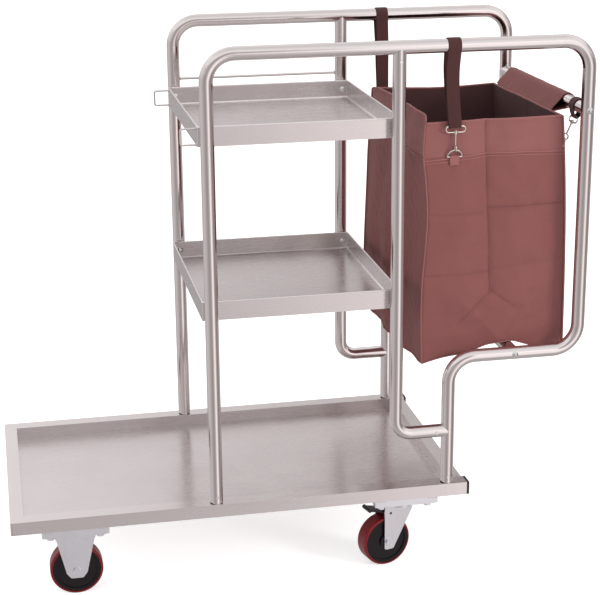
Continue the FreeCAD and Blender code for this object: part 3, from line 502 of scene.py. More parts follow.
class Effect:
    """A shader effect shared by several materials, built once as a node group."""

    built: dict[str, bpy.types.NodeTree] = {}

    @classmethod
    def group(cls, name: str, inputs: dict[str, tuple[str, object]], outputs: dict[str, str],
              fill: Callable[[Net, bpy.types.Node, bpy.types.Node], None]) -> bpy.types.NodeTree:
        """Returns the named group, building it the first time.

        Args:
            name: the group's name.
            inputs: socket types and defaults by name.
            outputs: socket types by name.
            fill: adds what is inside, given the net, the input node and the output node.

        Returns:
            The node group.
        """
        if name not in cls.built:
            tree = bpy.data.node_groups.new(name, "ShaderNodeTree")
            for label, (kind, default) in inputs.items():
                socket = tree.interface.new_socket(label, in_out="INPUT", socket_type=kind)
                if default is not None:
                    socket.default_value = default
            for label, kind in outputs.items():
                tree.interface.new_socket(label, in_out="OUTPUT", socket_type=kind)
            net = Net(tree)
            fill(net, net.add("NodeGroupInput"), net.add("NodeGroupOutput"))
            cls.built[name] = tree
        return cls.built[name]

    @classmethod
    def brushing(cls) -> bpy.types.NodeTree:
        """Fine lines along one direction, with soft blotches over them."""
        def fill(net: Net, start: bpy.types.Node, end: bpy.types.Node) -> None:
            """Noise on a vector stretched along the lines, at two sizes, plus wide blotches."""
            vector = start.outputs["Vector"]
            fine = net.noise(vector, 1.0, 3.0, 0.7)
            coarse = net.noise(net.scaled(vector, (0.21, 0.21, 0.21)), 1.0)
            lines = net.math("ADD", net.math("MULTIPLY", fine, 0.65),
                             net.math("MULTIPLY", coarse, 0.35))
            blotch = net.noise(net.add("ShaderNodeTexCoord").outputs["Object"], 7.0, 4.0, 0.6)
            net.feed(end, {"Lines": net.range(lines, 0.3, 0.7, 0.0, 1.0),
                           "Blotches": net.range(blotch, 0.35, 0.65, 0.0, 1.0)})
        return cls.group("Brushing", {"Vector": ("NodeSocketVector", None)},
                         {"Lines": "NodeSocketFloat", "Blotches": "NodeSocketFloat"}, fill)

    @classmethod
    def weave(cls) -> bpy.types.NodeTree:
        """Plain weave from a place on the cloth in metres and the threads' pitch."""
        def fill(net: Net, start: bpy.types.Node, end: bpy.types.Node) -> None:
            """Each thread is a rounded bar |sin|; over and under swap like a chess board."""
            parts = net.add("ShaderNodeSeparateXYZ", {0: start.outputs["Place"]})
            turn = net.math("DIVIDE", math.pi, start.outputs["Pitch"])
            wave_u = net.math("SINE", net.math("MULTIPLY", parts.outputs[0], turn))
            wave_v = net.math("SINE", net.math("MULTIPLY", parts.outputs[1], turn))
            warp, weft = net.math("ABSOLUTE", wave_u), net.math("ABSOLUTE", wave_v)
            swap = net.math("GREATER_THAN", net.math("MULTIPLY", wave_u, wave_v), 0.0)
            over = net.math("ADD", net.math("MULTIPLY", warp, swap),
                            net.math("MULTIPLY", weft, net.math("SUBTRACT", 1.0, swap)))
            slub = net.noise(net.scaled(start.outputs["Place"], (900.0, 60.0, 1.0)), 1.0)
            net.feed(end, {"Height": over, "Slub": net.range(slub, 0.3, 0.7, 0.0, 1.0)})
        return cls.group("Weave", {"Place": ("NodeSocketVector", None),
                                   "Pitch": ("NodeSocketFloat", 0.001)},
                         {"Height": "NodeSocketFloat", "Slub": "NodeSocketFloat"}, fill)

    @classmethod
    def crease(cls) -> bpy.types.NodeTree:
        """A pressed crease along a straight line: 1 on the line, fading away from it."""
        def fill(net: Net, start: bpy.types.Node, end: bpy.types.Node) -> None:
            """exp(-distance / Width), where distance is that to the nearest place on the line."""
            place, first, span = (start.outputs[name] for name in ("Place", "Start", "Span"))
            rel = net.vector("SUBTRACT", place, first).outputs[0]
            t = net.math("DIVIDE", net.vector("DOT_PRODUCT", rel, span).outputs["Value"],
                         net.vector("DOT_PRODUCT", span, span).outputs["Value"])
            t = net.range(t, 0.0, 1.0, 0.0, 1.0)
            reach = net.add("ShaderNodeVectorMath", {0: span, "Scale": t}, operation="SCALE")
            off = net.vector("SUBTRACT", rel, reach.outputs[0]).outputs[0]
            away = net.add("ShaderNodeVectorMath", {0: off}, operation="LENGTH").outputs["Value"]
            widths = net.math("DIVIDE", away, start.outputs["Width"])
            fade = net.math("POWER", math.e, net.math("MULTIPLY", widths, -1.0))
            net.feed(end, {"Mask": fade})
        return cls.group("Crease", {"Place": ("NodeSocketVector", None),
                                    "Start": ("NodeSocketVector", None),
                                    "Span": ("NodeSocketVector", None),
                                    "Width": ("NodeSocketFloat", 0.002)},
                         {"Mask": "NodeSocketFloat"}, fill)

    @classmethod
    def dust(cls) -> bpy.types.NodeTree:
        """A thin uneven veil that is thicker on what faces up."""
        def fill(net: Net, start: bpy.types.Node, end: bpy.types.Node) -> None:
            """Noise times the upward part of the face's direction times the amount."""
            facing = net.add("ShaderNodeSeparateXYZ",
                             {0: net.add("ShaderNodeNewGeometry").outputs["Normal"]}).outputs[2]
            up = net.range(facing, 0.2, 1.0, 0.25, 1.0)
            speck = net.noise(net.add("ShaderNodeTexCoord").outputs["Object"], 60.0, 6.0, 0.7)
            veil = net.math("MULTIPLY", net.range(speck, 0.42, 0.72, 0.0, 1.0), up)
            net.feed(end, {"Mask": net.math("MULTIPLY", veil, start.outputs["Amount"])})
        return cls.group("Dust", {"Amount": ("NodeSocketFloat", 0.1)},
                         {"Mask": "NodeSocketFloat"}, fill)


# ------------------------------------------------------------------ finishes

Colour = tuple[float, float, float, float]
DUST_COLOUR: Colour = (0.55, 0.52, 0.48, 1.0)


def shaded(colour: Colour, by: float) -> Colour:
    """A colour made lighter or darker by a factor."""
    return (colour[0] * by, colour[1] * by, colour[2] * by, 1.0)


def start_material(name: str) -> tuple[bpy.types.Material, Net, bpy.types.Node]:
    """A new material with its net and its Principled node."""
    material = bpy.data.materials.new(name)
    material.use_nodes = True
    return material, Net(material.node_tree), material.node_tree.nodes["Principled BSDF"]


@dataclass(frozen=True)
class SteelFinish:
    """Bare or plated steel with fine lines along one direction."""

    name: str
    colour: Colour
    roughness: float
    grain: tuple[float, float, float]
    line_depth: float = 0.15
    line_contrast: float = 0.06
    blotch: float = 0.05
    smear: float = 0.0
    along: tuple[float, float, float] = (1.0, 0.0, 0.0)

    def material(self) -> bpy.types.Material:
        """Lines change roughness, colour and a slight bump; blotches change roughness.

        Where smear is set, reflections are drawn out across the lines.

        Returns:
            The new material.
        """
        made, net, shader = start_material(self.name)
        place = net.add("ShaderNodeTexCoord").outputs["Object"]
        brushing = net.add("ShaderNodeGroup", {"Vector": net.scaled(place, self.grain)},
                           node_tree=Effect.brushing())
        lines, blotches = brushing.outputs["Lines"], brushing.outputs["Blotches"]
        tone = net.mix(lines, shaded(self.colour, 1 - self.line_contrast),
                       shaded(self.colour, 1 + self.line_contrast))
        rough = net.math("ADD", net.range(lines, 0, 1, self.roughness * 0.85,
                                          self.roughness * 1.15),
                         net.range(blotches, 0, 1, -self.blotch / 2, self.blotch / 2))
        net.feed(shader, {"Base Color": tone, "Roughness": rough, "Metallic": 1.0,
                          "Normal": net.bump(lines, self.line_depth, 0.0001)})
        if self.smear:
            lay = net.add("ShaderNodeCombineXYZ", dict(enumerate(self.along)))
            net.feed(shader, {"Tangent": lay.outputs[0], "Anisotropic": self.smear,
                              "Anisotropic Rotation": 0.25})
        return made


@dataclass(frozen=True)
class PlasticFinish:
    """Moulded plastic or cast tread with a fine skin."""

    name: str
    colour: Colour
    roughness: float
    skin_scale: float = 900.0
    skin_depth: float = 0.1
    coat: float = 0.0
    dust: float = 0.1
    shine: float = 0.5

    def material(self) -> bpy.types.Material:
        """A grained skin, a slow change of tone, and a veil of dust.

        Returns:
            The new material.
        """
        made, net, shader = start_material(self.name)
        place = net.add("ShaderNodeTexCoord").outputs["Object"]
        skin = net.noise(place, self.skin_scale)
        slow = net.noise(place, 25.0, 5.0)
        veil = net.add("ShaderNodeGroup", {"Amount": self.dust},
                       node_tree=Effect.dust()).outputs["Mask"]
        tone = net.mix(slow, shaded(self.colour, 0.8), shaded(self.colour, 1.2))
        rough = net.math("ADD", net.range(slow, 0.3, 0.7, self.roughness - 0.05,
                                          self.roughness + 0.05),
                         net.math("MULTIPLY", veil, 0.5))
        net.feed(shader, {"Base Color": net.mix(veil, tone, DUST_COLOUR), "Roughness": rough,
                          "Normal": net.bump(skin, self.skin_depth, 0.0002),
                          "Specular IOR Level": self.shine, "Coat Weight": self.coat,
                          "Coat Roughness": 0.08})
        return made


# Pressed creases of the bag's near wall: X and Z of both ends, and depth from 0 to 1.
NEAR_CREASES = (
    (0.355, 0.868, 0.3634, 0.705, 1.0), (0.3634, 0.705, 0.3718, 0.5438, 0.9),
    (0.3718, 0.5438, 0.3083, 0.4797, 0.7), (0.3718, 0.5438, 0.4179, 0.5102, 0.7),
    (0.2499, 0.6975, 0.3518, 0.6939, 0.55), (0.3664, 0.704, 0.5112, 0.7077, 0.9),
    (0.2426, 0.5782, 0.3644, 0.5784, 0.6), (0.376, 0.585, 0.515, 0.602, 0.3),
    (0.400, 0.455, 0.455, 0.540, 0.25), (0.262, 0.742, 0.300, 0.792, 0.35),
)


@dataclass(frozen=True)
class ClothFinish:
    """Woven cloth or webbing; the weave follows the piece's own cloth map."""

    name: str
    colour: Colour
    pitch: float
    depth: float
    contrast: float
    roughness: float = 0.85
    sheen: float = 0.3
    wear: float = 0.15
    creases: tuple[tuple[float, ...], ...] = ()

    def pressed(self, net: Net, place: bpy.types.NodeSocket) -> bpy.types.NodeSocket:
        """The deepest of the near wall's creases at each place, uneven along its length.

        Args:
            net: the material's net.
            place: the place on the object.

        Returns:
            0 off the creases to about 1 on the deepest; 0 on the other walls.
        """
        flat = net.scaled(place, (1.0, 0.0, 1.0))
        total: object = 0.0
        for x0, z0, x1, z1, depth in self.creases:
            line = net.add("ShaderNodeGroup", {
                "Place": flat, "Start": (x0, 0.0, z0), "Span": (x1 - x0, 0.0, z1 - z0),
                "Width": 0.0016 + 0.0012 * (1 - depth)}, node_tree=Effect.crease())
            total = net.math("MAXIMUM", total, net.math("MULTIPLY", line.outputs[0], depth))
        y = net.add("ShaderNodeSeparateXYZ", {0: place}).outputs[1]
        on_near_wall = net.math("LESS_THAN", y, -0.19)
        uneven = net.range(net.noise(place, 22.0, 3.0), 0.3, 0.6, 0.45, 1.0)
        return net.math("MULTIPLY", net.math("MULTIPLY", total, on_near_wall), uneven)

    def material(self) -> bpy.types.Material:
        """Threads by height, slubs and a slow fading by tone; creases pressed in, with painted
        shade in them.

        Returns:
            The new material.
        """
        made, net, shader = start_material(self.name)
        place = net.add("ShaderNodeTexCoord")
        weave = net.add("ShaderNodeGroup", {"Place": place.outputs["UV"], "Pitch": self.pitch},
                        node_tree=Effect.weave())
        thread, slub = weave.outputs["Height"], weave.outputs["Slub"]
        tone = net.mix(thread, shaded(self.colour, 1 - self.contrast),
                       shaded(self.colour, 1 + self.contrast * 0.5))
        tone = net.mix(net.math("MULTIPLY", slub, 0.25), tone, shaded(self.colour, 1.25))
        fade = net.noise(place.outputs["Object"], 9.0, 6.0, 0.65)
        tone = net.mix(net.range(fade, 0.35, 0.7, 0.0, self.wear), tone,
                       shaded(self.colour, 1.5))
        normal = net.bump(thread, 0.6, self.depth)
        if self.creases:
            pressed = self.pressed(net, place.outputs["Object"])
            # painted shade: the colour darkens towards 0.55 of itself along the creases; the bump
            # below is the real crease
            tone = net.mix(net.math("MULTIPLY", pressed, 0.42), tone, shaded(self.colour, 0.55))
            normal = net.bump(net.math("MULTIPLY", pressed, -1.0), 0.9, 0.0016, over=normal)
        rough = net.range(thread, 0, 1, self.roughness + 0.08, self.roughness - 0.08)
        net.feed(shader, {"Base Color": tone, "Roughness": rough, "Normal": normal,
                          "Sheen Weight": self.sheen, "Sheen Roughness": 0.5})
        return made


class Finishes:
    """Every finish of the trolley, and which frame node wears which."""

    def __init__(self) -> None:
        """Builds the materials once."""
        steel = (0.72, 0.68, 0.675, 1.0)
        recipes = [
            SteelFinish("tube_steel", (0.76, 0.72, 0.71, 1.0), 0.12, (500, 500, 40), 0.05, 0.02,
                        0.04),
            SteelFinish("tray_steel", steel, 0.27, (30, 1400, 1400), 0.05, 0.025, 0.04,
                        smear=0.85),
            SteelFinish("deck_steel", steel, 0.28, (25, 1400, 1400), 0.05, 0.025, 0.05,
                        smear=0.85),
            SteelFinish("rail_steel", steel, 0.25, (30, 1400, 1400), 0.06, 0.03, 0.04,
                        smear=0.7),
            SteelFinish("cross_steel", steel, 0.25, (1400, 30, 1400), 0.06, 0.03, 0.04,
                        smear=0.7, along=(0.0, 1.0, 0.0)),
            SteelFinish("zinc_steel", (0.80, 0.815, 0.86, 1.0), 0.33, (120, 120, 120), 0.03, 0.03,
                        0.06),
            SteelFinish("bolt_steel", (0.74, 0.74, 0.75, 1.0), 0.18, (600, 600, 600), 0.1, 0.04),
            SteelFinish("hook_metal", (0.80, 0.76, 0.68, 1.0), 0.15, (500, 500, 500), 0.08, 0.05),
            PlasticFinish("cap_plastic", (0.008, 0.007, 0.008, 1.0), 0.38, dust=0.05),
            PlasticFinish("wheel_plastic", (0.006, 0.004, 0.006, 1.0), 0.38, 700, 0.12, 0.0,
                          0.01, 0.28),
            PlasticFinish("tread_rubber", (0.17, 0.004, 0.007, 1.0), 0.3, 400, 0.06, 0.12, 0.0,
                          0.3),
            PlasticFinish("plug_plastic", (0.02, 0.02, 0.02, 1.0), 0.5),
            # painted highlight: a lighter copy of the tray steel, so the trays' bends and rolled
            # rims show as bright lines
            SteelFinish("bend_painted_highlight_steel", (0.9, 0.87, 0.865, 1.0), 0.3, (30, 900, 900), 0.05, 0.03,
                        0.05),
            ClothFinish("bag_cloth", (0.205, 0.070, 0.066, 1.0), 0.0011, 0.00012, 0.16,
                        sheen=0.06, creases=NEAR_CREASES),
            ClothFinish("bag_band", (0.240, 0.090, 0.086, 1.0), 0.0011, 0.00012, 0.16,
                        sheen=0.06, creases=NEAR_CREASES[:1]),
            # painted shade: a darker copy of the bag cloth for the bag's inside faces, standing
            # in for the shade inside the bag
            ClothFinish("bag_inside_painted_shade", (0.085, 0.034, 0.034, 1.0), 0.0011, 0.00012, 0.16,
                        sheen=0.03, wear=0.05),
            ClothFinish("piping_cloth", (0.27, 0.105, 0.1, 1.0), 0.0009, 0.0001, 0.18,
                        sheen=0.1),
            ClothFinish("strap_cloth", (0.060, 0.017, 0.017, 1.0), 0.0018, 0.0003, 0.3, 0.8,
                        0.04, 0.08),
            ClothFinish("thread", (0.31, 0.13, 0.12, 1.0), 0.0006, 0.0001, 0.2, sheen=0.1),
        ]
        self.materials = {recipe.name: recipe.material() for recipe in recipes}

    def dress(self, piece: bpy.types.Object, name: str) -> None:
        """Gives a piece the named finish in place of what it wears."""
        piece.data.materials.clear()
        piece.data.materials.append(self.materials[name])

    def dress_frame(self, nodes: dict[str, bpy.types.Object], record: dict) -> None:
        """Gives every frame node the finish of its slot in the record.

        Args:
            nodes: the frame's objects by name.
            record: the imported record, whose subparts give each node's slot.
        """
        same = {"pedal_plastic": "cap_plastic"}
        for part in record["subparts"]:
            slot = part["material_slot"]
            finish = same.get(slot, slot)
            if part["node"].startswith("base_cross_rail"):
                finish = "cross_steel"
            self.dress(nodes[part["node"]], finish)
        log.info("dressed %d frame nodes", len(record["subparts"]))


def keep(piece: bpy.types.Object, finishes: Finishes, finish: str, slot: str,
         *stands_for: str) -> bpy.types.Object:
    """Dresses a new piece and sets it on the trolley.

    Args:
        piece: the piece, in place.
        finishes: where its material comes from.
        finish: the finish's name.
        slot: the record's material slot; not used.
        stands_for: frame nodes that it replaces.

    Returns:
        The same piece.
    """
    finishes.dress(piece, finish)
    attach(piece, Body.TROLLEY.value)
    if stands_for:
        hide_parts(*stands_for)
    log.info("%s: %d faces", piece.name, len(piece.data.polygons))
    return piece


# ------------------------------------------------------------------ linen bag

@dataclass
class Bag:
    """The cloth bag: a tapered box of four walls and a floor, with piped edges.

    Each wall is given by the share along it and a height.  Its corners are curves over
    height, and folds move its face in or out.
    """

    half: float = 0.201
    cloth: float = 0.002
    step: float = 0.004
    band_low: float = 0.8065
    held_z: float = 0.4412
    rim: dict[Side, Keys] = field(default_factory=lambda: {
        Side.NEAR: ((0, 0.8690), (0.45, 0.8708), (1, 0.8722)),
        Side.RIGHT: ((0, 0.8722), (0.5, 0.8700), (1, 0.8680)),
        Side.FAR: ((0, 0.8680), (0.45, 0.8640), (1, 0.8690)),
        Side.LEFT: ((0, 0.8690), (0.015, 0.8705), (0.06, 0.8735), (0.3, 0.8790), (0.55, 0.8815),
                    (0.80, 0.8822), (0.93, 0.8824), (0.962, 0.8823), (0.975, 0.8815),
                    (0.988, 0.8760), (1, 0.8688)),
    })
    foot: dict[Side, Keys] = field(default_factory=lambda: {
        Side.NEAR: ((0, 0.4065), (0.12, 0.4150), (0.32, 0.4240), (0.46, 0.4370), (0.55, 0.4403),
                    (0.645, 0.4403), (0.72, 0.4330), (0.80, 0.4262), (1, 0.4270)),
        Side.RIGHT: ((0, 0.4270), (0.5, 0.4190), (1, 0.4270)),
        Side.FAR: ((0, 0.4270), (0.20, 0.4262), (0.28, 0.4330), (0.355, 0.4403), (0.45, 0.4403),
                   (0.54, 0.4370), (0.68, 0.4240), (0.88, 0.4140), (1, 0.4090)),
        Side.LEFT: ((0, 0.4090), (0.3, 0.4060), (0.7, 0.4040), (1, 0.4065)),
    })
    near_left_x: Keys = ((0.405, 0.2400), (0.50, 0.2372), (0.572, 0.2385), (0.627, 0.2430),
                         (0.697, 0.2465), (0.76, 0.2425), (0.802, 0.2378), (0.84, 0.2375),
                         (0.885, 0.2405))
    near_right_x: Keys = ((0.42, 0.5200), (0.59, 0.5175), (0.704, 0.5140), (0.807, 0.5080),
                          (0.872, 0.5030))
    far_right_x: Keys = ((0.42, 0.5180), (0.60, 0.5160), (0.80, 0.5070), (0.872, 0.5020))
    rings: tuple[tuple[float, float, float], ...] = ()
    far_left_x: Keys = ((0.405, 0.2230), (0.54, 0.2250), (0.675, 0.2300), (0.747, 0.2325),
                        (0.802, 0.2360), (0.872, 0.2405))

    def corner(self, which: int, z: Array) -> Array:
        """A corner's place at heights; corners count from near left, the way the seam runs."""
        keys = (self.near_left_x, self.near_right_x, self.far_right_x, self.far_left_x)[which]
        y = -self.half if which in (0, 1) else self.half
        return np.stack([curve(keys, z), np.full(z.shape, y), z], -1)

    def outward(self, side: Side) -> Array:
        """The direction that a wall faces."""
        return np.array([(0, -1, 0), (1, 0, 0), (0, 1, 0), (-1, 0, 0)][side.value], float)

    def wall(self, side: Side, share: Array, rise: Array) -> Array:
        """Points of a wall.

        A point is on the straight line between the wall's two corners at its height, moved
        along the wall's outward direction by the folds, which fade out at the corners and
        where a ring's tab is sewn on.

        Args:
            side: which wall.
            share: how far along the wall, 0 to 1, the way the seam runs.
            rise: how far up from the foot to the rim, 0 to 1.

        Returns:
            Positions, with one more axis than share and rise.
        """
        share, rise = np.broadcast_arrays(share, rise)
        low = curve(self.foot[side], share)
        high = curve(self.rim[side], share)
        z = low + (high - low) * rise
        start = self.corner(side.value, z)
        end = self.corner((side.value + 1) % 4, z)
        place = start + (end - start) * share[..., None]
        fade = np.sqrt(np.clip(np.sin(math.pi * share), 0, 1))
        out = self.folds(side, place, share, rise) * fade
        for ring in self.rings:
            away = ((place - np.array(ring)) ** 2).sum(-1)
            out = out * (1 - np.exp(-away / 0.034**2))
        return place + out[..., None] * self.outward(side)

    def folds(self, side: Side, place: Array, share: Array, rise: Array) -> Array:
        """How far a wall's face stands out of its plane.

        The right and far walls have slack ripples, one soft upright crease and a belly.

        Args:
            side: which wall.
            place: positions on the wall.
            share: how far along the wall, 0 to 1.
            rise: how far up the wall, 0 to 1.

        Returns:
            Distances in metres.
        """
        if side is Side.NEAR:
            return self.near_folds(place, rise)
        if side is Side.LEFT:
            return self.left_folds(place, share, rise)
        slack = 0.0016 * ripple(place[..., 0] + place[..., 1], place[..., 2], 11, 0.16)
        along = place[..., 0] if side is Side.FAR else place[..., 1]
        middle = 0.36 if side is Side.FAR else 0.0
        crease = -0.0022 * np.exp(-np.abs(along - middle) / 0.008)
        belly = 0.006 * np.sin(math.pi * rise) * np.sin(math.pi * share)
        return slack + crease + belly

    def near_folds(self, place: Array, rise: Array) -> Array:
        """Pressed folds of the near wall.

        A fold is a groove that falls off as exp(-distance / width) from its line, plus a
        wide hollow; between the folds the panels stand out a little.

        Args:
            place: positions on the wall.
            rise: how far up the wall, 0 to 1.

        Returns:
            Distances in metres.
        """
        x, z = place[..., 0], place[..., 2]
        upright = 0.355 + (0.372 - 0.355) * np.clip((0.868 - z) / (0.868 - 0.544), 0, 1.2)
        above = 1 / (1 + np.exp(-(z - 0.545) / 0.006))
        out = -0.0042 * np.exp(-np.abs(x - upright) / 0.005) * above
        out = out - 0.0045 * np.exp(-(((x - upright) / 0.030) ** 2)) * above
        out = out + self.groove(x, z, (0.250, 0.6975), (0.352, 0.694), 0.0028)
        out = out + self.groove(x, z, (0.366, 0.704), (0.513, 0.7075), 0.0040)
        out = out + self.groove(x, z, (0.242, 0.578), (0.366, 0.578), 0.0034)
        out = out + self.groove(x, z, (0.372, 0.588), (0.515, 0.600), 0.0016)
        out = out + self.groove(x, z, (0.3718, 0.5438), (0.308, 0.480), 0.0030)
        out = out + self.groove(x, z, (0.3718, 0.5438), (0.420, 0.509), 0.0030)
        out = out - self.groove(x, z, (0.400, 0.448), (0.470, 0.560), 0.0040, 0.012)
        out = out - self.groove(x, z, (0.392, 0.448), (0.300, 0.540), 0.0030, 0.012)
        out = out + 0.0022 * ripple(x, z, 5, 0.13) + 0.0008 * ripple(x, z, 6, 0.035)
        return out + 0.005 * np.sin(math.pi * np.clip(rise * 1.1, 0, 1))

    @staticmethod
    def groove(x: Array, z: Array, start: tuple[float, float], end: tuple[float, float],
               depth: float, width: float = 0.006) -> Array:
        """A groove along a straight line on a wall.

        Its depth is depth times exp(-distance / width), where distance is that to the line
        between start and end, so it also fades past its ends.

        Args:
            x: first place on the wall.
            z: second place on the wall.
            start: one end of the line.
            end: its other end.
            depth: how deep it is; below 0 it is a ridge.
            width: how fast it fades.

        Returns:
            Distances in metres, below 0 in the groove.
        """
        ax, az = start
        dx, dz = end[0] - ax, end[1] - az
        t = np.clip(((x - ax) * dx + (z - az) * dz) / (dx * dx + dz * dz), 0, 1)
        away = np.hypot(x - ax - t * dx, z - az - t * dz)
        return -depth * (np.exp(-away / width) + 0.35 * np.exp(-((away / (4 * width)) ** 2)))

    def left_folds(self, place: Array, share: Array, rise: Array) -> Array:
        """Soft upright folds of the left wall, which hangs slack, and a fold at its top.

        Args:
            place: positions on the wall.
            share: how far along the wall, 0 to 1.
            rise: how far up the wall, 0 to 1.

        Returns:
            Distances in metres.
        """
        y, z = place[..., 1], place[..., 2]
        wave = y + 0.02 * np.sin(9 * z)
        out = 0.0028 * np.sin(2 * math.pi * wave / 0.115 + 0.6) * (0.35 + 0.65 * (1 - rise))
        out = out + 0.0022 * ripple(y, z * 0.35, 21, 0.09)
        out = out + 0.0007 * ripple(y, z, 22, 0.03)
        out = out + self.groove(y, z, (-0.192, 0.800), (-0.110, 0.866), 0.0028, 0.008)
        out = out + self.groove(y, z, (0.0, 0.86), (0.01, 0.45), 0.0030, 0.007)
        return out + 0.004 * np.sin(math.pi * rise) * np.sin(math.pi * share)

    def counts(self, side: Side) -> int:
        """How many steps a wall has along it."""
        length = 2 * self.half if side in (Side.RIGHT, Side.LEFT) else 0.275
        return int(round(length / self.step))

    def shell(self) -> bpy.types.Object:
        """The four walls and the floor, as one sheet with thickness.

        The floor is a Coons patch: the lines between opposite feet added up, less the
        bilinear patch of the corners, hollowed a little where nothing holds it up and level
        over the lower crossbar.

        Returns:
            The shell, with its faces outwards.
        """
        rises = np.linspace(0, 1, int(round(0.46 / self.step)) + 1)
        walls = []
        for side in Side:
            share = np.arange(self.counts(side)) / self.counts(side)
            walls.append(self.wall(side, share[:, None], rises[None, :]))
        points = np.concatenate(walls)
        ring = np.arange(len(points) + 1) * self.step
        body = mesh_from_grid("linen_bag_cloth", points, closed_u=True,
                              uv=(ring, rises * 0.46))
        edges = {side: self.wall(side, np.linspace(0, 1, self.counts(side) + 1), np.zeros(1))
                 for side in Side}
        near, far = edges[Side.NEAR], edges[Side.FAR][::-1]
        right, left = edges[Side.RIGHT], edges[Side.LEFT][::-1]
        u = np.linspace(0, 1, len(near))[:, None, None]
        v = np.linspace(0, 1, len(right))[None, :, None]
        lines = ((1 - v) * near[:, None] + v * far[:, None]
                 + (1 - u) * left[None] + u * right[None])
        patch = ((1 - u) * (1 - v) * near[0] + u * (1 - v) * near[-1]
                 + (1 - u) * v * far[0] + u * v * far[-1])
        floor = lines - patch
        held = np.exp(-(((floor[..., 0] - 0.410) / 0.035) ** 2))
        free = np.sin(math.pi * u[..., 0]) * np.sin(math.pi * v[..., 0])
        floor[..., 2] -= 0.006 * free * (1 - held)
        floor[..., 2] += held * np.clip(6 * free, 0, 1) * (self.held_z - floor[..., 2])
        bottom = mesh_from_grid("floor", floor, uv=(u.ravel() * 0.27, v.ravel() * 0.4),
                                flip=True)
        shell = join("linen_bag_cloth", [body, bottom])
        weld(shell, 2e-5)
        wall_thickness(shell, self.cloth)
        # the inside faces take the next material, the darker painted-shade copy of the cloth
        shell.modifiers["thickness"].material_offset = 1
        return shell

    def seam_path(self, heights: dict[Side, Keys], out: float, count: int = 90) -> Array:
        """A closed path round the walls.

        Args:
            heights: its height along each wall, as (share, Z) keys.
            out: how far it stands out of the walls.
            count: points on each wall.

        Returns:
            Points, shape (4 * count, 3).
        """
        parts = []
        for side in Side:
            share = np.arange(count) / count
            low, high = curve(self.foot[side], share), curve(self.rim[side], share)
            rise = (curve(heights[side], share) - low) / (high - low)
            parts.append(self.wall(side, share, rise) + out * self.outward(side))
        return np.concatenate(parts)

    def trims(self) -> list[bpy.types.Object]:
        """The bound rim, the hem's double ridge, and the piping of the four upright edges."""
        up = Vector((0, 0, 1))
        rim = tube("bag_rim_binding", self.seam_path(self.rim, -self.cloth / 2), 0.0021, up,
                   closed=True, sides=10)
        hem_keys = {
            Side.NEAR: ((0, 0.7990), (0.12, 0.8010), (0.42, 0.8075), (1, 0.8065)),
            Side.RIGHT: ((0, 0.8065), (1, 0.8010)),
            Side.FAR: ((0, 0.8010), (1, 0.8020)),
            Side.LEFT: ((0, 0.8020), (0.5, 0.8060), (1, 0.7990)),
        }
        lower = {side: tuple((p, z - 0.0052) for p, z in keys) for side, keys in hem_keys.items()}
        pieces = [rim,
                  tube("bag_hem_ridge", self.seam_path(hem_keys, 0.0), 0.0016, up, True, 10),
                  tube("bag_hem_ridge_low", self.seam_path(lower, -0.0002), 0.0012, up, True, 10)]
        names = ("near_left", "near_right", "far_right", "far_left")
        for which, name in enumerate(names):
            side = Side(which)
            rise = np.linspace(0.0, 1.0, 120)
            path = self.wall(side, np.zeros(120), rise)
            path = path + 0.0006 * (self.outward(side) + self.outward(Side((which + 3) % 4)))
            pieces.append(tube(f"bag_edge_piping_{name}", path, 0.0016, Vector((1, 0, 0)),
                               sides=10))
        pieces.append(tube("bag_floor_piping", self.seam_path(self.foot, 0.0002), 0.0013, up,
                           True, 8))
        return pieces

    def build(self, finishes: Finishes) -> None:
        """Makes the bag and its trims, and puts them on the trolley."""
        shell = keep(self.shell(), finishes, "bag_cloth", "bag_cloth", "linen_bag")
        # inside faces of the cloth and of the band both wear the painted-shade copy of the cloth
        for name in ("bag_inside_painted_shade", "bag_band", "bag_inside_painted_shade"):
            shell.data.materials.append(finishes.materials[name])
        middles = np.empty(len(shell.data.polygons) * 3)
        shell.data.polygons.foreach_get("center", middles)
        band = (middles[2::3] > self.band_low).astype(np.int32) * 2
        shell.data.polygons.foreach_set("material_index", band)
        for trim in self.trims():
            keep(trim, finishes, "piping_cloth", "bag_cloth")
        below = {side: tuple((p, z - 0.006) for p, z in keys) for side, keys in self.rim.items()}
        path = self.seam_path(below, 0.0)
        ring = np.repeat([self.outward(side) for side in Side], 90, axis=0)
        keep(stitches("bag_rim_stitches", path, ring, 0.0036, 0.00035), finishes, "thread",
             "bag_cloth")


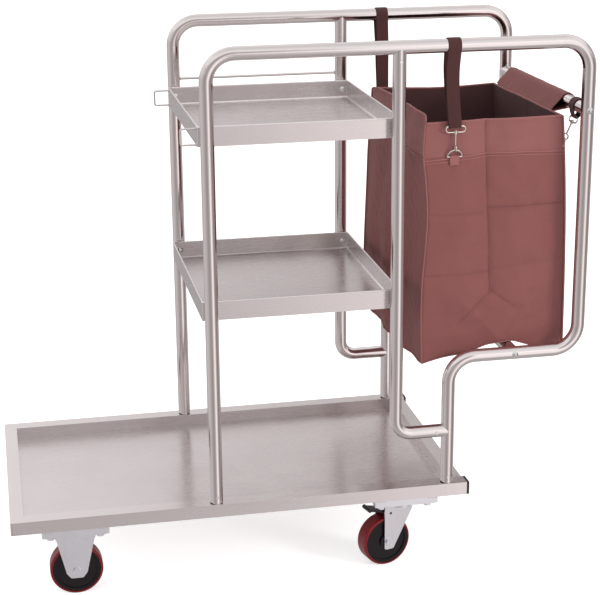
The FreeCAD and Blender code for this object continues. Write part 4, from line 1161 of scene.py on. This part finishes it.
@dataclass
class Sleeve:
    """The flap from the bag's right rim, over the upper crossbar and back."""

    start: tuple[float, float] = (0.5030, 0.8700)
    centre: tuple[float, float] = (0.5375, 0.8880)
    radius: float = 0.0140
    near: float = -0.134
    far: float = 0.186
    cloth: float = 0.0014

    def profile(self) -> Array:
        """The section in X and Z: up one tangent, round the bar, and back down the other.

        The tangent points lie asin(r/d) either side of the line from start to centre, where
        d is that line's length.
        """
        start, centre = np.array(self.start), np.array(self.centre)
        line = centre - start
        reach = math.hypot(*line)
        lean = math.asin(self.radius / reach)
        heading = math.atan2(line[1], line[0])
        run = math.sqrt(reach**2 - self.radius**2)
        upper = start + run * np.array([math.cos(heading + lean), math.sin(heading + lean)])
        lower = start + run * np.array([math.cos(heading - lean), math.sin(heading - lean)])
        begin = heading + lean + math.pi / 2
        stop = heading - lean - math.pi / 2
        angle = np.linspace(begin, stop, 36)
        arc = centre + self.radius * np.stack([np.cos(angle), np.sin(angle)], 1)
        rise = np.linspace(0, 1, 14)[:-1, None]
        up = start + (upper - start) * rise
        down = lower + (start + np.array([0.0, -0.002]) - lower) * np.linspace(0, 1, 14)[1:, None]
        return np.vstack([up, arc, down])

    def build(self, finishes: Finishes) -> None:
        """Carries the section along Y, with small puckers, and adds the end hems' stitches."""
        section = self.profile()
        y = np.linspace(self.near, self.far, 110)
        along = distances(np.column_stack([section, np.zeros(len(section))]))
        middle = (self.near + self.far) / 2
        sag = 1 - ((y - middle) / (self.far - middle)) ** 2
        pucker = 0.0009 * ripple(y[:, None], along[None, :] * 0.6, 31, 0.05)
        pucker = pucker + 0.0004 * ripple(y[:, None], along[None, :], 32, 0.018)
        off_bar = np.hypot(section[:, 0] - self.centre[0], section[:, 1] - self.centre[1])
        free = np.clip((off_bar - self.radius) / 0.012, 0, 1)
        points = np.empty((len(y), len(section), 3))
        points[..., 0] = section[:, 0][None] + 0.2 * pucker
        points[..., 1] = y[:, None] + 0.001 * np.sin(along * 180)[None]
        points[..., 2] = (section[:, 1][None] + pucker * (0.25 + free[None])
                          - 0.0035 * sag[:, None] * free[None])
        piece = mesh_from_grid("bag_sleeve", points, uv=(y - self.near, along), flip=True)
        wall_thickness(piece, self.cloth, inwards=False)
        keep(piece, finishes, "bag_cloth", "bag_cloth")
        for name, column in (("near", 3), ("far", len(y) - 4)):
            path = points[column, 2:48]
            out = path - np.array([self.centre[0], path[0, 1], self.centre[1]])
            out[:, 1] = 0
            out /= np.linalg.norm(out, axis=1, keepdims=True)
            keep(stitches(f"sleeve_stitches_{name}", path + out * 0.0007, out, 0.0036, 0.00035),
                 finishes, "thread", "bag_cloth")


@dataclass
class RingTab:
    """A folded tab of cloth sewn to the bag, which holds a D ring's bar."""

    name: str
    bar: tuple[float, float, float]
    out: tuple[float, float, float]
    width: float = 0.018
    cloth: float = 0.0012
    drop: float = 0.016
    radius: float = 0.0024
    tuck: float = 0.0021

    def build(self, finishes: Finishes) -> None:
        """A loop over the bar and down the wall, and a box of stitches below it.

        In the plane of the wall's outward direction and Z the loop is a half turn over the
        bar, then two plies down, the front one tucked in.

        Args:
            finishes: where the materials come from.
        """
        bar, out = np.array(self.bar), np.array(self.out)
        up = np.array([0.0, 0.0, 1.0])
        across = np.cross(out, up)
        angle = np.linspace(0, math.pi, 14)
        over = bar + self.radius * (np.cos(angle)[:, None] * out + np.sin(angle)[:, None] * up)
        fall = np.linspace(0, 1, 12)[:, None]
        inwards = self.tuck * np.sin(math.pi / 2 * np.clip(1.6 * (1 - fall), 0, 1))
        front = over[0] - up * self.drop * (1 - fall) - out * inwards
        back = over[-1] - up * self.drop * fall
        path = np.vstack([front[:-1], over, back[1:]])
        keep(ribbon(f"ring_tab_{self.name}", path, across, self.width, self.cloth),
             finishes, "piping_cloth", "bag_cloth")
        low, high, half = self.drop * 0.9, 0.006, self.width / 2 - 0.002
        face = bar + out * (self.radius - self.tuck + self.cloth / 2)
        corners = [face - up * high - across * half, face - up * low - across * half,
                   face - up * low + across * half, face - up * high + across * half,
                   face - up * high - across * half]
        t = np.linspace(0, 4, 60)
        k = np.clip(t.astype(int), 0, 3)
        box = np.array(corners)
        line = box[k] + (box[k + 1] - box[k]) * (t - k)[:, None]
        keep(stitches(f"ring_tab_stitches_{self.name}", line, out, 0.0026, 0.0003), finishes,
             "thread", "bag_cloth")


# ------------------------------------------------------------------ straps

@dataclass
class Strap:
    """A loop of webbing pulled tight round a rail and the bar of a hook's eye.

    The loop lies in a plane given by its across direction.  It is two arcs and the two
    straight plies that touch them, with a drift along the across direction.
    """

    name: str
    rail: tuple[float, float, float]
    eye: tuple[float, float, float]
    across: tuple[float, float, float]
    drift: Keys = ((0.0, 0.0), (1.0, 0.0))
    rail_radius: float = 0.0136
    eye_radius: float = 0.0025
    width: float = 0.0245
    cloth: float = 0.0015
    steps: int = 60

    def loop(self) -> tuple[Array, Array]:
        """The loop's middle line: round the rail, down, round the eye and back.

        The plies leave the arcs acos((rail radius - eye radius) / reach) either side of the
        line from rail to eye, where reach is that line's length.

        Returns:
            Points, and the share of the way from rail to eye at each.
        """
        rail, eye, across = (np.array(v, float) for v in (self.rail, self.eye, self.across))
        along = eye - rail
        along -= (along @ across) * across
        reach = np.linalg.norm(along)
        along /= reach
        side = np.cross(across, along)
        lean = math.acos((self.rail_radius - self.eye_radius) / reach)
        round_rail = np.linspace(-lean, -2 * math.pi + lean, self.steps)
        round_eye = np.linspace(lean, -lean, 24)

        def arc(centre: Array, radius: float, angle: Array) -> Array:
            """Points at angles from the line that runs from rail to eye."""
            return centre + radius * (np.cos(angle)[:, None] * along
                                      + np.sin(angle)[:, None] * side)

        top = arc(rail, self.rail_radius, round_rail)
        low = arc(rail + along * reach, self.eye_radius, round_eye)
        t = np.linspace(0, 1, self.steps)[1:-1, None]
        down = top[-1] + (low[0] - top[-1]) * t
        back = low[-1] + (top[0] - low[-1]) * t
        path = np.vstack([top, down, low, back])
        share = np.clip((path - rail) @ along / reach, 0, 1)
        return path, share

    def build(self, finishes: Finishes) -> None:
        """Makes the band and the rows of stitches that close it above the eye."""
        path, share = self.loop()
        across = np.array(self.across, float)
        path = path + curve(self.drift, share)[:, None] * across
        wave = 0.0007 * np.sin(share * 11) * np.sin(math.pi * share)
        rail, eye = np.array(self.rail, float), np.array(self.eye, float)
        along = (eye - rail) - ((eye - rail) @ across) * across
        side = np.cross(across, along / np.linalg.norm(along))
        path = path + wave[:, None] * side
        piece = ribbon(f"webbing_{self.name}", path, across, self.width, self.cloth, closed=True)
        keep(piece, finishes, "strap_cloth", "strap_cloth", f"strap_{self.name}")
        front = path[self.steps:2 * self.steps - 2]
        outward = -side if (front[len(front) // 2] - rail) @ side < 0 else side
        reach = across * (self.width / 2 - 0.002)
        rows = []
        for back in (4, 9):
            spot = front[-back] + outward * (self.cloth / 2)
            line = np.linspace(spot - reach, spot + reach, 20)
            rows.append(stitches(f"strap_stitches_{self.name}_{back}", line, outward, 0.0028,
                                 0.00035))
        keep(join(f"strap_stitches_{self.name}", rows), finishes, "strap_cloth", "strap_cloth")


@dataclass
class Straps:
    """The three straps: two from the top rails and one from the upper crossbar.

    Rails and eyes are (Y, Z) of the two long straps and (X, Z) of the short one.
    """

    rail: tuple[float, float] = (0.235, 1.015)
    eye: tuple[float, float] = (0.2085, 0.8635)
    crossbar: tuple[float, float] = (0.5375, 0.888)
    side_hook: tuple[float, float] = (0.530, 0.862)
    side_tilt: float = math.radians(25)
    eye_rise: float = 0.0055
    near_lean: float = -0.014
    far_lean: float = 0.002

    def build(self, finishes: Finishes) -> None:
        """Reads how far along its rail each strap's solid is and makes its webbing."""
        for name, sign, lean in (("near", -1, self.near_lean), ("far", 1, self.far_lean)):
            low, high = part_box(f"strap_{name}")
            middle = (low.x + high.x) / 2
            Strap(name, (middle, sign * self.rail[0], self.rail[1]),
                  (middle, sign * self.eye[0], self.eye[1]), (1.0, 0.0, 0.0),
                  ((0.0, lean), (0.3, lean), (1.0, 0.0))).build(finishes)
        low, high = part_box("strap_side")
        middle = (low.y + high.y) / 2
        eye = (self.side_hook[0] + self.eye_rise * math.sin(self.side_tilt), middle,
               self.side_hook[1] + self.eye_rise * math.cos(self.side_tilt))
        Strap("side", (self.crossbar[0], middle, self.crossbar[1]), eye,
              (0.0, 1.0, 0.0)).build(finishes)


# ------------------------------------------------------------------ metal details

@dataclass
class TrayFolds:
    """The bends of a folded tray: a hollow bend round its floor and a rolled rim, in lighter
    steel as a painted highlight.
    """

    sheet: float = 0.0012
    hem: float = 0.0012
    bend: float = 0.003
    roll: float = 0.0015

    @staticmethod
    def loop(name: str, low: Vector, high: Vector, section: Array) -> bpy.types.Object:
        """Carries a section round the inside of a rectangle, with mitred corners.

        Args:
            name: the piece's name.
            low: the rectangle's lowest corner.
            high: its highest corner.
            section: (inset from the rectangle, Z) pairs of a closed outline.

        Returns:
            The new object.
        """
        inset = section[None, :, 0]
        sides = (((low.x, low.y), (high.x, low.y)), ((high.x, low.y), (high.x, high.y)),
                 ((high.x, high.y), (low.x, high.y)), ((low.x, high.y), (low.x, low.y)))
        share = np.linspace(0, 1, 24)[:-1, None]
        centre = np.array([(low.x + high.x) / 2, (low.y + high.y) / 2])
        half = np.array([(high.x - low.x) / 2, (high.y - low.y) / 2])
        rings = []
        for start, end in sides:
            flat = np.array(start) + (np.array(end) - np.array(start)) * share
            unit = (flat - centre) / half
            rings.append(np.stack([centre[0] + unit[:, :1] * (half[0] - inset),
                                   centre[1] + unit[:, 1:] * (half[1] - inset),
                                   np.broadcast_to(section[:, 1], (len(share), len(section)))],
                                  -1))
        piece = mesh_from_grid(name, np.concatenate(rings), True, True)
        face_outwards(piece)
        return piece

    def build(self, finishes: Finishes) -> None:
        """The bend is a quarter hollow of radius bend; the roll is a full round on the rim."""
        pieces = []
        for tray in ("top_tray", "middle_tray"):
            low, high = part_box(tray)
            angle = np.linspace(math.pi, 1.5 * math.pi, 9)
            floor = low.z + self.sheet
            hollow = np.stack([self.sheet + self.bend * (1 + np.cos(angle)),
                               floor + self.bend * (1 + np.sin(angle))], 1)
            corner = np.array([[self.sheet - 0.0002, floor - 0.0002]])
            pieces.append(self.loop("fold", low, high, np.vstack([hollow, corner])))
            turn = np.linspace(0, 2 * math.pi, 12, endpoint=False)
            rim = np.stack([self.hem + self.roll * np.cos(turn),
                            high.z - self.roll * 0.5 + self.roll * np.sin(turn)], 1)
            pieces.append(self.loop("roll", low, high, rim))
        # the bends and rims wear the lighter painted-highlight copy of the tray steel
        keep(join("tray_folds", pieces), finishes, "bend_painted_highlight_steel", "tray_steel")


@dataclass
class WeldBeads:
    """Small weld beads where rods and pans meet the trays, posts and rails."""

    size: float = 0.0011

    def ring(self, name: str, centre: Vector, axis: Vector, radius: float) -> bpy.types.Object:
        """A bead round a rod: a ring whose thickness ripples with the weld's steps.

        Args:
            name: the bead's name.
            centre: the middle of the ring.
            axis: the rod's direction.
            radius: the ring's radius.

        Returns:
            The new object.
        """
        axis = axis.normalized()
        first = axis.orthogonal().normalized()
        second = axis.cross(first)
        angle = np.linspace(0, 2 * math.pi, 64, endpoint=False)
        path = (np.array(centre) + radius * (np.cos(angle)[:, None] * np.array(first)
                                             + np.sin(angle)[:, None] * np.array(second)))
        thick = self.size * (1 + 0.16 * np.sin(angle * 14) + 0.08 * np.sin(angle * 3 + 1))
        return tube(name, path, thick, axis, closed=True, sides=8)

    def line(self, name: str, start: Vector, end: Vector) -> bpy.types.Object:
        """A straight bead: a rod whose thickness ripples with the weld's steps."""
        length = (end - start).length
        t = np.linspace(0, 1, max(12, int(length / 0.0012)))
        path = np.array(start) + (np.array(end) - np.array(start)) * t[:, None]
        thick = self.size * (1 + 0.2 * np.sin(t * length / 0.0028 * 2 * math.pi))
        return tube(name, path, thick, Vector((0, 0, 1)), sides=8)

    def build(self, finishes: Finishes) -> None:
        """Beads at the hoops, the guard rod and the pans."""
        beads = []
        low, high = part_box("tray_hoops")
        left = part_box("top_tray")[0].x
        for y in (low.y + 0.0018, high.y - 0.0018):
            for z in (low.z + 0.0018, high.z - 0.0018):
                beads.append(self.ring("bead", Vector((left - 0.0004, y, z)), Vector((1, 0, 0)),
                                       0.0021))
        low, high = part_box("guard_rod")
        middle = (low + high) / 2
        for x in (low.x + 0.0004, high.x - 0.0004):
            beads.append(self.ring("bead", Vector((x, middle.y, middle.z)), Vector((1, 0, 0)),
                                   0.0028))
        low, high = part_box("caster_brackets")
        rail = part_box("base_side_rail_near")[0].z
        outer, inner = 0.0181, 0.0179
        for x, run in ((low.x + 0.002, outer), (low.x + 0.122, -inner),
                       (high.x - 0.122, inner), (high.x - 0.002, -outer)):
            for y in (low.y + 0.0006, high.y - 0.0006):
                start = Vector((x, y, rail - 0.0006))
                beads.append(self.line("bead", start, start + Vector((run, 0, 0))))
        keep(join("weld_beads", beads), finishes, "rail_steel", "rail_steel")


# ------------------------------------------------------------------ studio

@dataclass
class Studio:
    """Pale floor and backdrop, soft lights and the camera."""

    azimuth: float = -11.27
    elevation: float = 17.2
    roll: float = -0.48
    target: tuple[float, float, float] = (0.04395, 0.0, 0.49104)
    distance: float = 3.1064
    lens: float = 93.69
    low_band: tuple[tuple[float, Colour], ...] = (
        (-180, (0.34, 0.32, 0.32, 1)), (-150, (0.55, 0.52, 0.53, 1)),
        (-100, (0.70, 0.66, 0.67, 1)), (-62, (0.60, 0.565, 0.57, 1)),
        (-42, (0.46, 0.43, 0.44, 1)), (-14, (0.38, 0.34, 0.34, 1)), (-3, (0.58, 0.54, 0.54, 1)),
        (9, (0.63, 0.585, 0.59, 1)), (13, (0.74, 0.69, 0.69, 1)), (18, (1.22, 1.15, 1.14, 1)),
        (36, (1.16, 1.08, 1.06, 1)), (50, (0.55, 0.49, 0.48, 1)),
        (66, (0.32, 0.275, 0.275, 1)), (92, (0.34, 0.30, 0.30, 1)),
        (118, (0.62, 0.58, 0.58, 1)), (150, (0.5, 0.47, 0.47, 1)), (180, (0.34, 0.32, 0.32, 1)))
    high_band: tuple[tuple[float, Colour], ...] = (
        (-180, (1.05, 1.01, 1.02, 1)), (-120, (0.9, 0.87, 0.88, 1)),
        (-60, (0.7, 0.68, 0.69, 1)), (-15, (0.42, 0.39, 0.39, 1)), (9, (0.40, 0.365, 0.37, 1)),
        (12, (0.6, 0.56, 0.56, 1)), (15, (1.35, 1.30, 1.30, 1)), (38, (1.2, 1.15, 1.14, 1)),
        (80, (0.6, 0.56, 0.56, 1)), (145, (0.34, 0.31, 0.31, 1)), (160, (0.44, 0.41, 0.41, 1)),
        (169, (0.66, 0.62, 0.62, 1)), (180, (1.05, 1.01, 1.02, 1)))

    def camera(self) -> None:
        """A camera that looks from azimuth and elevation at the target, with a slight roll."""
        a, e, r = (math.radians(v) for v in (self.azimuth, self.elevation, self.roll))
        back = Vector((math.sin(a) * math.cos(e), -math.cos(a) * math.cos(e), math.sin(e)))
        right = Vector((math.cos(a), math.sin(a), 0))
        up = back.cross(right)
        rolled_right = right * math.cos(r) + up * math.sin(r)
        rolled_up = up * math.cos(r) - right * math.sin(r)
        data = bpy.data.cameras.new("camera")
        data.sensor_width = 36
        data.lens = self.lens
        data.clip_start, data.clip_end = 0.05, 100
        camera = bpy.data.objects.new("camera", data)
        turn = Matrix((rolled_right, rolled_up, back)).transposed()
        camera.matrix_world = (Matrix.Translation(Vector(self.target) + back * self.distance)
                               @ turn.to_4x4())
        bpy.context.scene.collection.objects.link(camera)
        bpy.context.scene.camera = camera

    def floor(self) -> None:
        """A floor that curves up into a backdrop: flat, then a quarter round, then a wall.

        Steel shows the room in place of the floor, as it does beside dark screens.
        """
        start, bend, top = 3.2, 2.0, 7.0
        angle = np.linspace(0, math.pi / 2, 16)[1:-1]
        y = np.concatenate([[-9, -4, 0, start], start + bend * np.sin(angle),
                            [start + bend, start + bend]])
        z = np.concatenate([[0, 0, 0, 0], bend * (1 - np.cos(angle)), [bend, top]])
        x = np.linspace(-9, 9, 5)
        points = np.empty((len(x), len(y), 3))
        points[..., 0], points[..., 1], points[..., 2] = x[:, None], y[None], z[None]
        sweep = mesh_from_grid("studio_sweep", points)
        material, net, shader = start_material("studio_white")
        place = net.add("ShaderNodeTexCoord").outputs["Object"]
        tone = net.noise(place, 0.6)
        seen = net.add("ShaderNodeLightPath").outputs["Is Camera Ray"]
        net.feed(shader, {"Base Color": net.mix(tone, (0.90, 0.90, 0.90, 1),
                                                (0.92, 0.92, 0.92, 1)),
                          "Roughness": 0.9, "Specular IOR Level": 0.0,
                          "Emission Color": (1, 1, 1, 1),
                          "Emission Strength": net.math("MULTIPLY", seen, 0.55)})
        sweep.data.materials.append(material)
        sweep.visible_glossy = False

    def softbox(self, name: str, place: tuple[float, float, float],
                towards: tuple[float, float, float], size: tuple[float, float],
                power: float) -> None:
        """A rectangular area light that faces a point and doesn't show in the steel.

        Args:
            name: the light's name.
            place: where it stands.
            towards: the point that it faces.
            size: its width and height.
            power: its power in watts.
        """
        data = bpy.data.lights.new(name, "AREA")
        data.shape = "RECTANGLE"
        data.size, data.size_y = size
        data.energy = power
        light = bpy.data.objects.new(name, data)
        light.location = place
        heading = Vector(towards) - Vector(place)
        light.rotation_mode = "QUATERNION"
        light.rotation_quaternion = heading.to_track_quat("-Z", "Y")
        light.visible_glossy = False
        bpy.context.scene.collection.objects.link(light)

    @staticmethod
    def ramp(net: Net, place: bpy.types.NodeSocket,
             stops: tuple[tuple[float, Colour], ...]) -> bpy.types.NodeSocket:
        """A colour ramp over compass angle.

        Args:
            net: the world's net.
            place: the angle as a share of a full turn, a half at -Y.
            stops: (degrees from -Y towards +X, colour) pairs in rising order.

        Returns:
            The colour.
        """
        node = net.add("ShaderNodeValToRGB", {"Fac": place})
        marks = node.color_ramp.elements
        while len(marks) < len(stops):
            marks.new(0.5)
        for mark, (angle, colour) in zip(marks, stops):
            mark.position = angle / 360 + 0.5
            mark.color = colour
        return node.outputs["Color"]

    def world(self) -> None:
        """A room of dark and bright screens, so that polished steel shows stripes.

        The compass angle atan2(x, -y) picks a screen from a low and a high band, the height
        of the direction mixes the two, and the ceiling and the ground close it.  The low
        screens lean a little.
        """
        world = bpy.data.worlds.new("studio_room")
        world.use_nodes = True
        net = Net(world.node_tree)
        background = world.node_tree.nodes["Background"]
        heading = net.add("ShaderNodeTexCoord").outputs["Generated"]
        parts = net.add("ShaderNodeSeparateXYZ", {0: heading})
        x, y, z = parts.outputs[0], parts.outputs[1], parts.outputs[2]
        angle = net.math("ARCTAN2", x, net.math("MULTIPLY", y, -1.0))
        turn = net.math("ADD", net.math("DIVIDE", angle, 2 * math.pi), 0.5)
        slant = net.range(z, -0.29, -0.20, 0.0, 0.019)
        low = self.ramp(net, net.math("ADD", turn, slant), self.low_band)
        high = self.ramp(net, turn, self.high_band)
        colour = net.mix(net.range(z, 0.0, 0.2, 0.0, 1.0), low, high)
        colour = net.mix(net.range(z, 0.36, 0.52, 0.0, 1.0), colour, (1.0, 0.97, 0.97, 1))
        colour = net.mix(net.range(z, 0.75, 0.97, 0.0, 1.0), colour, (0.80, 0.78, 0.79, 1))
        colour = net.mix(net.range(z, -0.45, -0.75, 0.0, 1.0), colour, (0.52, 0.49, 0.49, 1))
        net.feed(background, {"Color": colour, "Strength": 1.0})
        bpy.context.scene.world = world

    def build(self) -> None:
        """Makes the whole studio."""
        self.camera()
        self.floor()
        self.softbox("key", (2.4, -2.3, 1.3), (0.3, 0, 0.6), (0.7, 1.0), 42)
        self.softbox("fill", (-2.6, -0.9, 1.2), (0.2, 0, 0.6), (0.9, 1.2), 16)
        self.softbox("top", (-0.6, -0.6, 3.4), (0, 0, 0), (2.8, 2.4), 8)
        self.world()
        bpy.context.scene.view_settings.view_transform = "Standard"
        log.info("studio ready")


# ------------------------------------------------------------------ whole trolley

def corners(box: tuple[Vector, Vector]) -> list[list[float]]:
    """A box's two corners as plain lists."""
    return [list(box[0]), list(box[1])]


def main() -> None:
    """Builds the looks of the trolley round its frame, piece by piece."""
    logging.basicConfig(level=logging.INFO, format="%(name)s: %(message)s")
    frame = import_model()
    Studio().build()
    finishes = Finishes()
    finishes.dress_frame(frame["nodes"], frame["record"])
    bars = {joint["name"]: tuple(joint["pos_m"]) for joint in frame["joints"]}
    rings = {name: bars[f"ring_{name}_tilt"] for name in ("near", "far", "side")}
    Bag(rings=tuple(rings.values())).build(finishes)
    Sleeve().build(finishes)
    for name, out in (("near", (0, -1, 0)), ("far", (0, 1, 0)), ("side", (1, 0, 0))):
        RingTab(name, rings[name], out).build(finishes)
    Straps().build(finishes)
    TrayFolds().build(finishes)
    WeldBeads().build(finishes)


if __name__ == "__main__":
    main()
